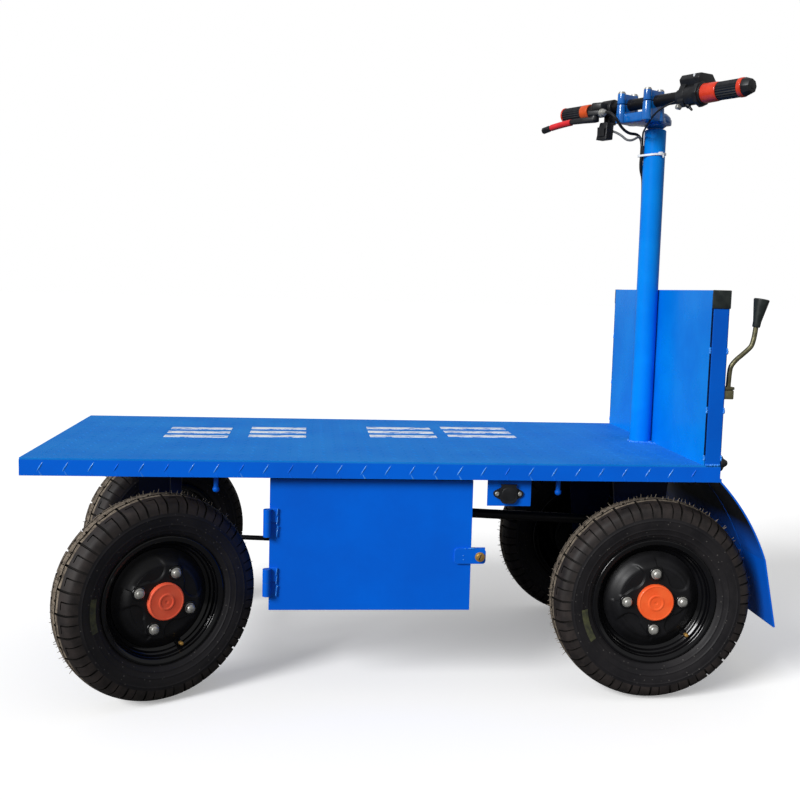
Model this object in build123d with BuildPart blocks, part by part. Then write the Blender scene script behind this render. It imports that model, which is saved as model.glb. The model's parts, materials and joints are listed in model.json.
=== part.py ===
"""Electric platform truck with an operator's steering column, at its real size in millimetres.

+X runs from the steered axle towards the operator, +Y from the battery door side to the
far side and +Z up. The origin is on the floor, midway along and across the whole truck.
The steering stands turned to the left, as it is parked.
"""

import os
from math import cos, radians, sin

from build123d import *

os.makedirs("parts", exist_ok=True)

# Load deck
DECK_LENGTH = 1200.0
DECK_WIDTH = 576.0
DECK_TOP = 429.0
PLATE = 3.0
SKIRT_DEPTH = 30.0
DECK_CORNER = 2.0

# Under frame of rectangular tube
RAIL_WIDTH = 60.0
RAIL_HEIGHT = 30.0
RAIL_WALL = 3.0
RAIL_INSET = 98.0
RAIL_CORNER = 4.0
RAIL_END_GAP = 12.0
HANGER_PLATE = 8.0

# Battery box
AXLE_TO_BOX = 219.0
BOX_TO_REAR_AXLE = 331.0
BOX_SETBACK = 20.0
BOX_DEPTH = 255.0
BOX_BOTTOM = 163.0
SHEET = 3.0
DOOR_GAP = 1.0
BARREL_RADIUS = 7.0
BARREL_LENGTH = 48.0
HINGE_PIN_RADIUS = 3.5
HASP_LENGTH = 55.0
HASP_HEIGHT = 27.0
HASP_PAST = 25.5
HASP_ROUND = 6.0
LOCK_INSET = 11.0
LOCK_RADIUS = 8.5
HASP_DROP = 135.5
HASP_STRAP = 4.0
LOCK_HEAD = 6.0
BARREL_RISES = (27.0, 131.5)
BATTERY_COUNT = 4
BATTERY_GAP = 7.6
BATTERY_DEPTH = 181.0
BATTERY_HEIGHT = 170.0

# Charging inlet on its bracket
BOX_TO_BRACKET = 25.5
BRACKET_LENGTH = 77.0
BRACKET_DROP = 46.0
BRACKET_RAIL_GAP = 18.0
INLET_SETBACK = 36.5
INLET_DROP = 24.0
INLET_SPACING = 40.0
INLET_FLANGE = 3.0
INLET_RADIUS = 16.0
INLET_EAR = 6.5
SOCKET_RADIUS = 12.5
SOCKET_DEPTH = 26.0
COVER_WIDTH = 30.0
COVER_HEIGHT = 33.0
COVER_SHEET = 4.0

# Rope pegs
PEG_RADIUS = 4.0
PEG_BALL = 5.8
PEG_DROP = 52.5
PEG_INSET = 30.0
AXLE_TO_PEG = 126.7
PEG_TO_REAR_AXLE = 178.0

# Wheels and tyres, 3.00-8 size
TYRE_RADIUS = 181.5
TYRE_WIDTH = 85.0
RIM_FLANGE = 113.0
RIM_SEAT = 103.0
RIM_WELL = 90.0
RIM_WIDTH = 68.0
RIM_WALL = 3.0
SHOULDER_DROP = 11.5
SHOULDER_INSET = 4.0
BULGE_RISE = 29.0
DISC_OFFSET = 26.0
DISC_SHEET = 3.0
DISC_RADIUS = 72.0
POCKET_COUNT = 4
POCKET_CIRCLE = 61.0
POCKET_ROUND = 19.0
POCKET_TAIL = 5.0
POCKET_TURN = 36.0
POCKET_START = 42.0
POCKET_DEPTH = 1.6
HUB_RADIUS = 34.0
CAP_RADIUS = 32.0
DRUM_RADIUS = 62.0
DRUM_WIDTH = 42.0
STUB_RADIUS = 12.0
RUNNING_FIT = 0.05
SEAT_GAP = 0.3

# Axles and steering linkage
FRONT_AXLE = 194.0
REAR_OVERHANG = 104.0
REAR_TRACK = 496.0
KINGPIN_SPREAD = 412.0
WHEEL_OFFSET = 47.6
KINGPIN_RADIUS = 8.0
BOSS_RADIUS = 16.0
BOSS_HALF = 22.0
EAR = 10.0
NECK_HALF = 17.0
NECK_LENGTH = 45.0
BEAM_HEIGHT = 38.0
BEAM_WIDTH = 44.0
BEAM_DROP = 16.5
STEER_ANGLE = 32.0
TIE_ARM = 85.0
TIE_ARM_PLATE = 6.0
DRAG_ARM = 80.0
ARM_END = 12.0
EYE_RADIUS = 11.0
EYE_HEIGHT = 13.0
BALL_PIN = 5.0
LINK_ROD = 5.0
LINK_TUBE = 9.5
TIE_TUBE = 5.5
DRAG_RISE = 79.0
AXLE_TUBE = 30.0
HOUSING_RADIUS = 68.0
HOUSING_HALF = 40.0
HOUSING_ROUND = 14.0
BACKPLATE = 4.0
GEAR_CASE_RADIUS = 42.0
GEAR_CASE_WIDTH = 52.0
GEAR_CASE_FACE = 42.0
MOTOR_SETBACK = 92.0
MOTOR_RADIUS = 55.0
MOTOR_LENGTH = 112.0

# Steering column and head
COLUMN_SETBACK = 53.5
COLUMN_RADIUS = 21.0
COLUMN_WALL = 3.5
COLUMN_HEAD_GAP = 9.0
BUSH = 25.0
SHAFT_RADIUS = 14.0
BAR_HEIGHT = 1091.0
BAR_FORWARD = 48.0
BAR_RADIUS = 11.0
BAR_NEAR = 238.0
BAR_FAR = 196.0
RISER_SPACING = 64.0
RISER_WIDTH = 15.0
RISER_LENGTH = 52.0
RISER_HALF = 22.0
YOKE_PLATE = 14.0
CLAMP_SPLIT = 1.0
TIE_DROP = 42.0
CABLE_RADIUS = 3.0
LOOM_RADIUS = 5.0

# Upright at the operator's end
TUBE = 30.0
TUBE_WALL = 2.5
WALL_TOP = 735.0
PANEL_SHEET = 2.0
LEVER_DROP = 189.0
LEVER_BLOCK = 17.0
LEVER_RADIUS = 4.0
KNOB_LENGTH = 44.0
KNOB_BASE = 8.0
KNOB_TOP = 14.0

# Rear guard
FENDER_SHEET = 3.0
FENDER_WIDTH = 100.0
FENDER_SLIT = 2.0
FENDER_CLEARANCE = 136.0
FENDER_REACH = 90.0
FENDER_BEND_DROP = 141.0
GUARD_REACH = 117.94

half_width = DECK_WIDTH / 2
near_edge = -half_width
deck_front = -(DECK_LENGTH + GUARD_REACH) / 2
deck_back = deck_front + DECK_LENGTH
rear_axle_place = DECK_LENGTH - REAR_OVERHANG
column_place = DECK_LENGTH - COLUMN_SETBACK
box_start = FRONT_AXLE + AXLE_TO_BOX
box_length = rear_axle_place - BOX_TO_REAR_AXLE - box_start
rail_y = half_width - RAIL_INSET
deck_under = DECK_TOP - PLATE
skirt_bottom = DECK_TOP - SKIRT_DEPTH
rail_bottom = deck_under - RAIL_HEIGHT
up = Vector(0, 0, 1)


def along(offset):
    """Position on X of a place measured from the deck's front edge."""
    return deck_front + offset


def slab(x0, x1, y0, y1, z0, z1):
    """Add a plate or bar between two opposite corners."""
    with BuildSketch(Plane.XY.offset(z0)) as outline:
        with Locations(((x0 + x1) / 2, (y0 + y1) / 2)):
            Rectangle(x1 - x0, y1 - y0)
    extrude(outline.sketch, amount=z1 - z0)


def save(piece, label):
    """Label a finished piece and write it as its own file."""
    piece.part.label = label
    export_step(piece.part, f"parts/{label}.step")


# Deck plate, with the hole that the steering shaft passes through
shaft_hole = SHAFT_RADIUS + 2.0
with BuildPart() as deck_plate:
    slab(deck_front, deck_back, near_edge, half_width, deck_under, DECK_TOP)
    with BuildSketch(Plane.XY.offset(deck_under)):
        with Locations((along(column_place), 0)):
            Circle(shaft_hole)
    extrude(amount=PLATE, mode=Mode.SUBTRACT)
    fillet(deck_plate.edges().filter_by(Axis.Z).sort_by(Axis.X)[:2], DECK_CORNER)
    fillet(deck_plate.edges().filter_by(Axis.Z).sort_by(Axis.X)[-2:], DECK_CORNER)
save(deck_plate, "deck_plate")

# Folded skirts under the plate's four edges: name, x0, x1, y0, y1
skirts = [
    ("skirt_near", deck_front, deck_back, near_edge, near_edge + PLATE),
    ("skirt_far", deck_front, deck_back, half_width - PLATE, half_width),
    ("skirt_front", deck_front, deck_front + PLATE, near_edge + PLATE, half_width - PLATE),
    ("skirt_rear", deck_back - PLATE, deck_back, near_edge + PLATE, half_width - PLATE),
]
for label, x0, x1, y0, y1 in skirts:
    with BuildPart() as skirt:
        slab(x0, x1, y0, y1, skirt_bottom, deck_under)
    save(skirt, label)

# Longitudinal rails of rectangular tube: name, side of the centre line
rail_start = deck_front + PLATE + RAIL_END_GAP
rail_end = deck_back - PLATE - RAIL_END_GAP
for label, side in (("rail_near", -1), ("rail_far", 1)):
    with BuildPart() as rail:
        with BuildSketch(Plane.YZ.offset(rail_start)):
            with Locations((side * rail_y, rail_bottom + RAIL_HEIGHT / 2)):
                RectangleRounded(RAIL_WIDTH, RAIL_HEIGHT, RAIL_CORNER)
                Rectangle(RAIL_WIDTH - 2 * RAIL_WALL, RAIL_HEIGHT - 2 * RAIL_WALL, mode=Mode.SUBTRACT)
        extrude(amount=rail_end - rail_start)
    save(rail, label)

# Cross members between the rails: place along the deck of each
cross_half = rail_y - RAIL_WIDTH / 2
with BuildPart() as crossmembers:
    for place in (FRONT_AXLE, DECK_LENGTH / 2, column_place):
        slab(along(place) - RAIL_WIDTH / 2, along(place) + RAIL_WIDTH / 2,
             -cross_half, cross_half, rail_bottom, deck_under)
    with BuildSketch(Plane.XY.offset(rail_bottom)):
        with Locations((along(column_place), 0)):
            Circle(shaft_hole)
    extrude(amount=RAIL_HEIGHT, mode=Mode.SUBTRACT)
save(crossmembers, "crossmembers")

# Battery box hung from the rails: floor, back and ends are separate sheets
box_front_x = along(box_start)
box_rear_x = box_front_x + box_length
door_face = near_edge + BOX_SETBACK
box_mouth = door_face + SHEET + DOOR_GAP
box_back = door_face + BOX_DEPTH
with BuildPart() as box_floor:
    slab(box_front_x + SHEET, box_rear_x - SHEET, box_mouth, box_back - SHEET,
         BOX_BOTTOM, BOX_BOTTOM + SHEET)
save(box_floor, "box_floor")

with BuildPart() as box_back_sheet:
    slab(box_front_x + SHEET, box_rear_x - SHEET, box_back - SHEET, box_back, BOX_BOTTOM, rail_bottom)
save(box_back_sheet, "box_back")

# The rear end carries the staple plate that the lock passes through
hasp_centre_z = rail_bottom - HASP_DROP
hasp_end = box_rear_x + HASP_PAST
lock_x = hasp_end - LOCK_INSET
staple_y = door_face + SHEET + DOOR_GAP
with BuildPart() as box_ends:
    slab(box_front_x, box_front_x + SHEET, box_mouth, box_back, BOX_BOTTOM, rail_bottom)
    slab(box_rear_x - SHEET, box_rear_x, box_mouth, box_back, BOX_BOTTOM, rail_bottom)
    slab(box_rear_x, hasp_end, staple_y, staple_y + SHEET,
         hasp_centre_z - HASP_HEIGHT / 2, hasp_centre_z + HASP_HEIGHT / 2)
save(box_ends, "box_ends")

# Batteries stand side by side on the floor of the box
battery_width = (box_length - 2 * SHEET - (BATTERY_COUNT + 1) * BATTERY_GAP) / BATTERY_COUNT
battery_y = (box_mouth + box_back - SHEET) / 2
with BuildPart() as batteries:
    for index in range(BATTERY_COUNT):
        left = box_front_x + SHEET + BATTERY_GAP + index * (battery_width + BATTERY_GAP)
        slab(left, left + battery_width, battery_y - BATTERY_DEPTH / 2, battery_y + BATTERY_DEPTH / 2,
             BOX_BOTTOM + SHEET, BOX_BOTTOM + SHEET + BATTERY_HEIGHT)
    chamfer(batteries.edges().filter_by(Axis.Z), 3)
save(batteries, "batteries")

# Door, with its welded hinge barrels and the hasp strap
hinge_x = box_front_x - 3.5
hinge_y = door_face - BARREL_RADIUS - 0.5
barrel_half = BARREL_LENGTH / 2
leaf_end = box_front_x + 15.0
barrel_bottoms = [BOX_BOTTOM + rise for rise in BARREL_RISES]
with BuildPart() as battery_door:
    slab(box_front_x, box_rear_x, door_face, door_face + SHEET, BOX_BOTTOM, rail_bottom - 2)
    for bottom in barrel_bottoms:
        middle = bottom + barrel_half
        with BuildSketch(Plane.XY.offset(middle + SEAT_GAP)):
            with Locations((hinge_x, hinge_y)):
                Circle(BARREL_RADIUS)
        extrude(amount=barrel_half - SEAT_GAP)
        slab(hinge_x, leaf_end, door_face - SHEET, door_face, middle + SEAT_GAP, bottom + BARREL_LENGTH)
        with BuildSketch(Plane.XY.offset(middle)):
            with Locations((hinge_x, hinge_y)):
                Circle(HINGE_PIN_RADIUS + RUNNING_FIT)
        extrude(amount=barrel_half - 4, mode=Mode.SUBTRACT)
    with BuildSketch(Plane.XZ.offset(-door_face)):
        with Locations((hasp_end - HASP_LENGTH / 2, hasp_centre_z)):
            RectangleRounded(HASP_LENGTH, HASP_HEIGHT, HASP_ROUND)
    extrude(amount=HASP_STRAP)
    with BuildSketch(Plane.XZ.offset(-door_face)):
        with Locations((lock_x, hasp_centre_z)):
            Circle(LOCK_RADIUS - 3 + SEAT_GAP)
    extrude(amount=HASP_STRAP, mode=Mode.SUBTRACT)
save(battery_door, "battery_door")

# Fixed hinge halves with their pins, on leaves welded to the box's front end
with BuildPart() as door_hinges:
    for bottom in barrel_bottoms:
        middle = bottom + barrel_half
        with BuildSketch(Plane.XY.offset(bottom)):
            with Locations((hinge_x, hinge_y)):
                Circle(BARREL_RADIUS)
        extrude(amount=barrel_half)
        with BuildSketch(Plane.XY.offset(bottom)):
            with Locations((hinge_x, hinge_y)):
                Circle(HINGE_PIN_RADIUS)
        extrude(amount=BARREL_LENGTH - 5)
        slab(box_front_x - SHEET, box_front_x, hinge_y, box_mouth + 20, bottom, middle)
save(door_hinges, "door_hinges")

# Turn lock through the strap, with its cam head outside
with BuildPart() as door_lock:
    with BuildSketch(Plane.XZ.offset(-door_face)):
        with Locations((lock_x, hasp_centre_z)):
            Circle(LOCK_RADIUS - 3)
    extrude(amount=HASP_STRAP)
    with BuildSketch(Plane.XZ.offset(-door_face + HASP_STRAP)):
        with Locations((lock_x, hasp_centre_z)):
            Circle(LOCK_RADIUS)
    extrude(amount=LOCK_HEAD)
    fillet(door_lock.faces().sort_by(Axis.Y)[0].edges(), 1)
save(door_lock, "door_lock")

# Folded bracket for the charging inlet, hung from the deck
bracket_x = box_rear_x + BOX_TO_BRACKET
bracket_bottom = rail_bottom - BRACKET_DROP
inlet_x = bracket_x + INLET_SETBACK
inlet_z = rail_bottom - INLET_DROP
with BuildPart() as charge_bracket:
    slab(bracket_x, bracket_x + BRACKET_LENGTH, door_face, door_face + SHEET, bracket_bottom, deck_under)
    slab(bracket_x, bracket_x + BRACKET_LENGTH, door_face + SHEET,
         -rail_y - RAIL_WIDTH / 2 - BRACKET_RAIL_GAP, deck_under - SHEET, deck_under)
    with BuildSketch(Plane.XZ.offset(-door_face)):
        with Locations((inlet_x, inlet_z)):
            Circle(SOCKET_RADIUS + 0.5)
    extrude(amount=-SHEET, mode=Mode.SUBTRACT)
save(charge_bracket, "charge_bracket")

# Charging inlet: a diamond flange, the socket's body behind it and a flip cover in front
with BuildSketch() as flange:
    Circle(INLET_RADIUS)
    with Locations((-INLET_SPACING / 2, 0), (INLET_SPACING / 2, 0)):
        Circle(INLET_EAR)
    make_hull()

with BuildPart() as charge_inlet:
    with BuildSketch(Plane.XZ.offset(-door_face)):
        with Locations((inlet_x, inlet_z)):
            add(flange.sketch)
    extrude(amount=INLET_FLANGE)
    with BuildSketch(Plane.XZ.offset(-door_face)):
        with Locations((inlet_x, inlet_z)):
            Circle(SOCKET_RADIUS)
    extrude(amount=-SOCKET_DEPTH)
    with BuildSketch(Plane.XZ.offset(-door_face + INLET_FLANGE)):
        with Locations((inlet_x, inlet_z)):
            RectangleRounded(COVER_WIDTH, COVER_HEIGHT, 9)
    extrude(amount=COVER_SHEET)
save(charge_inlet, "charge_inlet")

# Rope pegs under both long edges: place along the deck, side
front_peg = FRONT_AXLE + AXLE_TO_PEG
rear_peg = rear_axle_place - PEG_TO_REAR_AXLE
peg_table = [(front_peg, -1), (rear_peg, -1), (front_peg, 1), (rear_peg, 1)]
with BuildPart() as rope_pegs:
    for place, side in peg_table:
        peg_y = side * (half_width - PEG_INSET)
        with BuildSketch(Plane.XY.offset(deck_under - PEG_DROP)):
            with Locations((along(place), peg_y)):
                Circle(PEG_RADIUS)
        extrude(amount=PEG_DROP)
        with Locations((along(place), peg_y, deck_under - PEG_DROP)):
            Sphere(PEG_BALL)
save(rope_pegs, "rope_pegs")

# Front beam with the bosses that the kingpins turn in
axle_z = TYRE_RADIUS
kingpin_y = KINGPIN_SPREAD / 2
front_x = along(FRONT_AXLE)
beam_z = axle_z - BEAM_DROP
with BuildPart() as front_beam:
    beam_half = kingpin_y - NECK_LENGTH
    with BuildSketch(Plane.XZ.offset(-beam_half)):
        with Locations((front_x, beam_z)):
            RectangleRounded(BEAM_WIDTH, BEAM_HEIGHT, 5)
    extrude(amount=2 * beam_half)
    for side in (-1, 1):
        with BuildSketch(Plane.XY.offset(axle_z - BOSS_HALF)):
            with Locations((front_x, side * kingpin_y)):
                Circle(BOSS_RADIUS)
        extrude(amount=2 * BOSS_HALF)
        with BuildSketch(Plane.XY.offset(axle_z - NECK_HALF)):
            with Locations((front_x, side * (kingpin_y - NECK_LENGTH / 2))):
                Rectangle(2 * BOSS_RADIUS, NECK_LENGTH)
        extrude(amount=2 * NECK_HALF)
        with BuildSketch(Plane.XY.offset(axle_z - BOSS_HALF)):
            with Locations((front_x, side * kingpin_y)):
                Circle(KINGPIN_RADIUS + RUNNING_FIT)
        extrude(amount=2 * BOSS_HALF, mode=Mode.SUBTRACT)
save(front_beam, "front_beam")


def hanger(place, side_y, top_half, bottom_half, bottom_z):
    """Add a tapered plate that hangs from the frame down to an axle."""
    with BuildSketch(Plane.XZ.offset(-side_y - HANGER_PLATE / 2)) as outline:
        with BuildLine():
            Polyline(
                (along(place) - top_half, rail_bottom),
                (along(place) + top_half, rail_bottom),
                (along(place) + bottom_half, bottom_z),
                (along(place) - bottom_half, bottom_z),
                close=True,
            )
        make_face()
    extrude(outline.sketch, amount=HANGER_PLATE)


# Plates that carry the front beam under its cross member
front_hanger_y = 95.0
with BuildPart() as front_hangers:
    for side in (-1, 1):
        hanger(FRONT_AXLE, side * front_hanger_y, RAIL_WIDTH / 2, BEAM_WIDTH / 2, beam_z + BEAM_HEIGHT / 2)
save(front_hangers, "front_hangers")


def steer(x, y):
    """Turn a straight-ahead offset from a steering pivot to where it stands."""
    a = radians(STEER_ANGLE)
    return x * cos(a) - y * sin(a), x * sin(a) + y * cos(a)


def steered_plane(x, y, z):
    """Plane at a pivot, its own X along the straight-ahead length of the truck."""
    return Plane(origin=(x, y, z), x_dir=(*steer(1, 0), 0), z_dir=(0, 0, 1))


# Steering knuckles: fork around the boss, kingpin, stub axle and arms
fork_back = BOSS_RADIUS + 2.5
stub_tip = WHEEL_OFFSET + 12
for label, side in (("knuckle_near", -1), ("knuckle_far", 1)):
    pivot = steered_plane(front_x, side * kingpin_y, axle_z)
    with BuildPart() as knuckle:
        with BuildSketch(pivot.offset(-BOSS_HALF - SEAT_GAP - EAR)):
            with Locations((0, side * (fork_back + 4))):
                Rectangle(2 * BOSS_RADIUS, 8)
        extrude(amount=2 * (BOSS_HALF + SEAT_GAP + EAR))
        for bottom in (-BOSS_HALF - SEAT_GAP - EAR, BOSS_HALF + SEAT_GAP):
            with BuildSketch(pivot.offset(bottom)):
                Circle(BOSS_RADIUS)
                with Locations((0, side * fork_back / 2)):
                    Rectangle(2 * BOSS_RADIUS, fork_back)
            extrude(amount=EAR)
        with BuildSketch(pivot.offset(-BOSS_HALF - EAR - 4)):
            Circle(KINGPIN_RADIUS)
        extrude(amount=2 * (BOSS_HALF + EAR + 4))
        arm_bottom = -BOSS_HALF - SEAT_GAP - EAR
        with BuildSketch(pivot.offset(arm_bottom)):
            with Locations((TIE_ARM / 2, 0)):
                Rectangle(TIE_ARM, 2 * ARM_END)
            with Locations((TIE_ARM, 0)):
                Circle(ARM_END)
                Circle(BALL_PIN + SEAT_GAP, mode=Mode.SUBTRACT)
        extrude(amount=TIE_ARM_PLATE)
        if side > 0:
            with BuildSketch(pivot.offset(BOSS_HALF + SEAT_GAP)):
                with Locations((0, -DRAG_ARM / 2)):
                    Rectangle(2 * ARM_END, DRAG_ARM)
                with Locations((0, -DRAG_ARM)):
                    Circle(ARM_END)
                    Circle(BALL_PIN + SEAT_GAP, mode=Mode.SUBTRACT)
            extrude(amount=EAR)
        stub = Plane(origin=(front_x, side * kingpin_y, axle_z),
                     x_dir=(0, 0, 1), z_dir=(*steer(0, side), 0))
        with BuildSketch(stub.offset(fork_back)):
            Circle(STUB_RADIUS)
        extrude(amount=stub_tip - fork_back)
    save(knuckle, label)

# Tie rod under the two rearward arms; its far eye is the open pivot
tie_x, tie_y = steer(TIE_ARM, 0)
tie_top = axle_z - BOSS_HALF - SEAT_GAP - EAR - SEAT_GAP
tie_z = tie_top - EYE_HEIGHT / 2
with BuildPart() as tie_rod:
    with BuildSketch(Plane.XZ.offset(-tie_y + kingpin_y)):
        with Locations((front_x + tie_x, tie_z)):
            Circle(TIE_TUBE)
    extrude(amount=-KINGPIN_SPREAD)
    for side in (-1, 1):
        with BuildSketch(Plane.XY.offset(tie_top - EYE_HEIGHT)):
            with Locations((front_x + tie_x, tie_y + side * kingpin_y)):
                Circle(EYE_RADIUS)
        extrude(amount=EYE_HEIGHT)
        with BuildSketch(Plane.XY.offset(tie_top)):
            with Locations((front_x + tie_x, tie_y + side * kingpin_y)):
                Circle(BALL_PIN)
        extrude(amount=EAR)
save(tie_rod, "tie_rod")

# Drag link from the pitman arm to the far knuckle, raised behind the battery box
column_x = along(column_place)
drag_x, drag_y = steer(0, -DRAG_ARM)
drag_top = axle_z + BOSS_HALF
drag_front = Vector(front_x + drag_x, kingpin_y + drag_y, drag_top - EYE_HEIGHT / 2)
drag_rear = Vector(column_x + drag_x, drag_y, drag_front.Z + DRAG_RISE)
drag_span = Vector(drag_rear.X - drag_front.X, drag_rear.Y - drag_front.Y, 0)


def on_drag(share, rise):
    """Point on the drag link's line, at a share of its run and a height above its front."""
    return drag_front + drag_span * share + up * rise


with BuildPart() as drag_link:
    with BuildLine():
        FilletPolyline(drag_front, on_drag(0.26, 4), on_drag(0.5, DRAG_RISE), drag_rear, radius=60)
    with BuildSketch(Plane(origin=drag_front, z_dir=on_drag(0.26, 4) - drag_front)):
        Circle(LINK_ROD)
    sweep()
    tube_start = on_drag(0.56, DRAG_RISE)
    with BuildSketch(Plane(origin=tube_start, z_dir=drag_span)):
        Circle(LINK_TUBE)
    extrude(amount=drag_span.length * 0.40)
    for end in (drag_front, drag_rear):
        with BuildSketch(Plane.XY.offset(end.Z - EYE_HEIGHT / 2)):
            with Locations((end.X, end.Y)):
                Circle(EYE_RADIUS)
        extrude(amount=EYE_HEIGHT)
        with BuildSketch(Plane.XY.offset(end.Z + EYE_HEIGHT / 2)):
            with Locations((end.X, end.Y)):
                Circle(BALL_PIN)
        extrude(amount=EAR)
save(drag_link, "drag_link")

# Steering shaft inside the column, with the pitman arm at its foot
pitman_bottom = drag_rear.Z + EYE_HEIGHT / 2 + SEAT_GAP
yoke_bottom = BAR_HEIGHT - RISER_HALF - YOKE_PLATE
column_pivot = steered_plane(column_x, 0, pitman_bottom)
with BuildPart() as steering_shaft:
    with BuildSketch(column_pivot):
        Circle(SHAFT_RADIUS)
    extrude(amount=yoke_bottom - pitman_bottom)
    with BuildSketch(column_pivot):
        Circle(SHAFT_RADIUS + 6)
        with Locations((0, -DRAG_ARM / 2)):
            Rectangle(2 * ARM_END, DRAG_ARM)
        with Locations((0, -DRAG_ARM)):
            Circle(ARM_END)
            Circle(BALL_PIN + SEAT_GAP, mode=Mode.SUBTRACT)
    extrude(amount=EAR)
save(steering_shaft, "steering_shaft")

# Column tube on the deck, bushed at both ends
column_top = yoke_bottom - COLUMN_HEAD_GAP
with BuildPart() as column_tube:
    with BuildSketch(Plane.XY.offset(DECK_TOP)):
        with Locations((column_x, 0)):
            Circle(COLUMN_RADIUS)
    extrude(amount=column_top - DECK_TOP)
    for z0, z1, bore in (
        (DECK_TOP, DECK_TOP + BUSH, SHAFT_RADIUS + RUNNING_FIT),
        (DECK_TOP + BUSH, column_top - BUSH, COLUMN_RADIUS - COLUMN_WALL),
        (column_top - BUSH, column_top, SHAFT_RADIUS + RUNNING_FIT),
    ):
        with BuildSketch(Plane.XY.offset(z0)):
            with Locations((column_x, 0)):
                Circle(bore)
        extrude(amount=z1 - z0, mode=Mode.SUBTRACT)
    chamfer(column_tube.faces().sort_by(Axis.Z)[-1].outer_wire().edges(), 2)
save(column_tube, "column_tube")

# Steering head; in its frame X runs along the bar to the far side and Y forwards
head = Plane(origin=(column_x, 0, BAR_HEIGHT), x_dir=(*steer(0, 1), 0), z_dir=(0, 0, 1))


def bar_plane(distance):
    """Plane across the handlebar, a distance along it from the middle of the risers."""
    origin = head.from_local_coords(Vector(distance, BAR_FORWARD, 0))
    return Plane(origin=origin, x_dir=head.y_dir, z_dir=head.x_dir)


def riser_outline():
    """Draw both risers' rounded outlines across the bar."""
    for side in (-1, 1):
        with Locations((side * RISER_SPACING / 2, BAR_FORWARD)):
            SlotOverall(RISER_LENGTH, RISER_WIDTH, rotation=90)


with BuildPart() as head_yoke:
    with BuildSketch(head.offset(-RISER_HALF - YOKE_PLATE)):
        with BuildLine():
            Polyline(
                (-RISER_SPACING / 2 - RISER_WIDTH / 2, BAR_FORWARD - 6),
                (-18, -SHAFT_RADIUS - 12),
                (18, -SHAFT_RADIUS - 12),
                (RISER_SPACING / 2 + RISER_WIDTH / 2, BAR_FORWARD - 6),
                (RISER_SPACING / 2 + RISER_WIDTH / 2, BAR_FORWARD + RISER_LENGTH / 2 - 6),
                (-RISER_SPACING / 2 - RISER_WIDTH / 2, BAR_FORWARD + RISER_LENGTH / 2 - 6),
                close=True,
            )
        make_face()
    extrude(amount=YOKE_PLATE)
    with BuildSketch(head.offset(-RISER_HALF - YOKE_PLATE)):
        riser_outline()
    extrude(amount=RISER_HALF + YOKE_PLATE - CLAMP_SPLIT / 2)
    with BuildSketch(bar_plane(-RISER_SPACING)):
        Circle(BAR_RADIUS + RUNNING_FIT)
    extrude(amount=2 * RISER_SPACING, mode=Mode.SUBTRACT)
save(head_yoke, "head_yoke")

with BuildPart() as riser_caps:
    with BuildSketch(head.offset(CLAMP_SPLIT / 2)):
        riser_outline()
    extrude(amount=RISER_HALF - CLAMP_SPLIT / 2)
    with BuildSketch(bar_plane(-RISER_SPACING)):
        Circle(BAR_RADIUS + RUNNING_FIT)
    extrude(amount=2 * RISER_SPACING, mode=Mode.SUBTRACT)
save(riser_caps, "riser_caps")

with BuildPart() as handlebar:
    with BuildSketch(bar_plane(-BAR_NEAR)):
        Circle(BAR_RADIUS)
    extrude(amount=BAR_NEAR + BAR_FAR)
save(handlebar, "handlebar")


def sleeve(start, stop, radius, inner=BAR_RADIUS + RUNNING_FIT):
    """Add a ring on the handlebar between two distances from the risers' middle."""
    with BuildSketch(bar_plane(start)) as ring:
        Circle(radius)
        if inner:
            Circle(inner, mode=Mode.SUBTRACT)
    extrude(ring.sketch, amount=stop - start)


# Twist throttle: collar, grip and octagonal end
with BuildPart() as throttle_grip:
    sleeve(-BAR_NEAR, -143, 17)
    sleeve(-143, -134, 22)
    with BuildSketch(bar_plane(-257)):
        RegularPolygon(17.5, 8)
    extrude(amount=257 - BAR_NEAR)
save(throttle_grip, "throttle_grip")

# Control pod on the bar beside the throttle
with BuildPart() as control_pod:
    sleeve(-128, -88, 16)
    with BuildSketch(bar_plane(-134)):
        with BuildLine():
            Polyline((-6, 12), (8, 12), (12, 34), (4, 44), (-34, 46), (-46, 30), (-30, 24), (-12, 20),
                     close=True)
        make_face()
    extrude(amount=48)
save(control_pod, "control_pod")

# Far grip
with BuildPart() as far_grip:
    sleeve(126, BAR_FAR, 15.5)
    sleeve(BAR_FAR, BAR_FAR + 8, 17.5, inner=0)
save(far_grip, "far_grip")

# Brake perch clamped on the bar, with the lever's ears towards the front
with BuildPart() as brake_perch:
    sleeve(64, 92, 16)
    with BuildSketch(head.offset(-16)):
        with BuildLine():
            Polyline((66, BAR_FORWARD + 8), (96, BAR_FORWARD + 8), (104, BAR_FORWARD + 30),
                     (92, BAR_FORWARD + 42), (72, BAR_FORWARD + 34), close=True)
        make_face()
    extrude(amount=8)
save(brake_perch, "brake_perch")

# Brake lever blade along the far grip
with BuildPart() as brake_lever:
    with BuildLine():
        lever_path = FilletPolyline(
            head.from_local_coords(Vector(88, BAR_FORWARD + 32, -24)),
            head.from_local_coords(Vector(140, BAR_FORWARD + 40, -24)),
            head.from_local_coords(Vector(225, BAR_FORWARD + 34, -24)),
            radius=60,
        )
    with BuildSketch(Plane(origin=lever_path @ 0, z_dir=lever_path % 0)):
        Circle(5)
    sweep()
    with Locations(lever_path @ 1):
        Sphere(7)
    with BuildSketch(head.offset(-30)):
        with Locations((88, BAR_FORWARD + 32)):
            Circle(9)
    extrude(amount=30 - 16 - SEAT_GAP)
save(brake_lever, "brake_lever")

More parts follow.
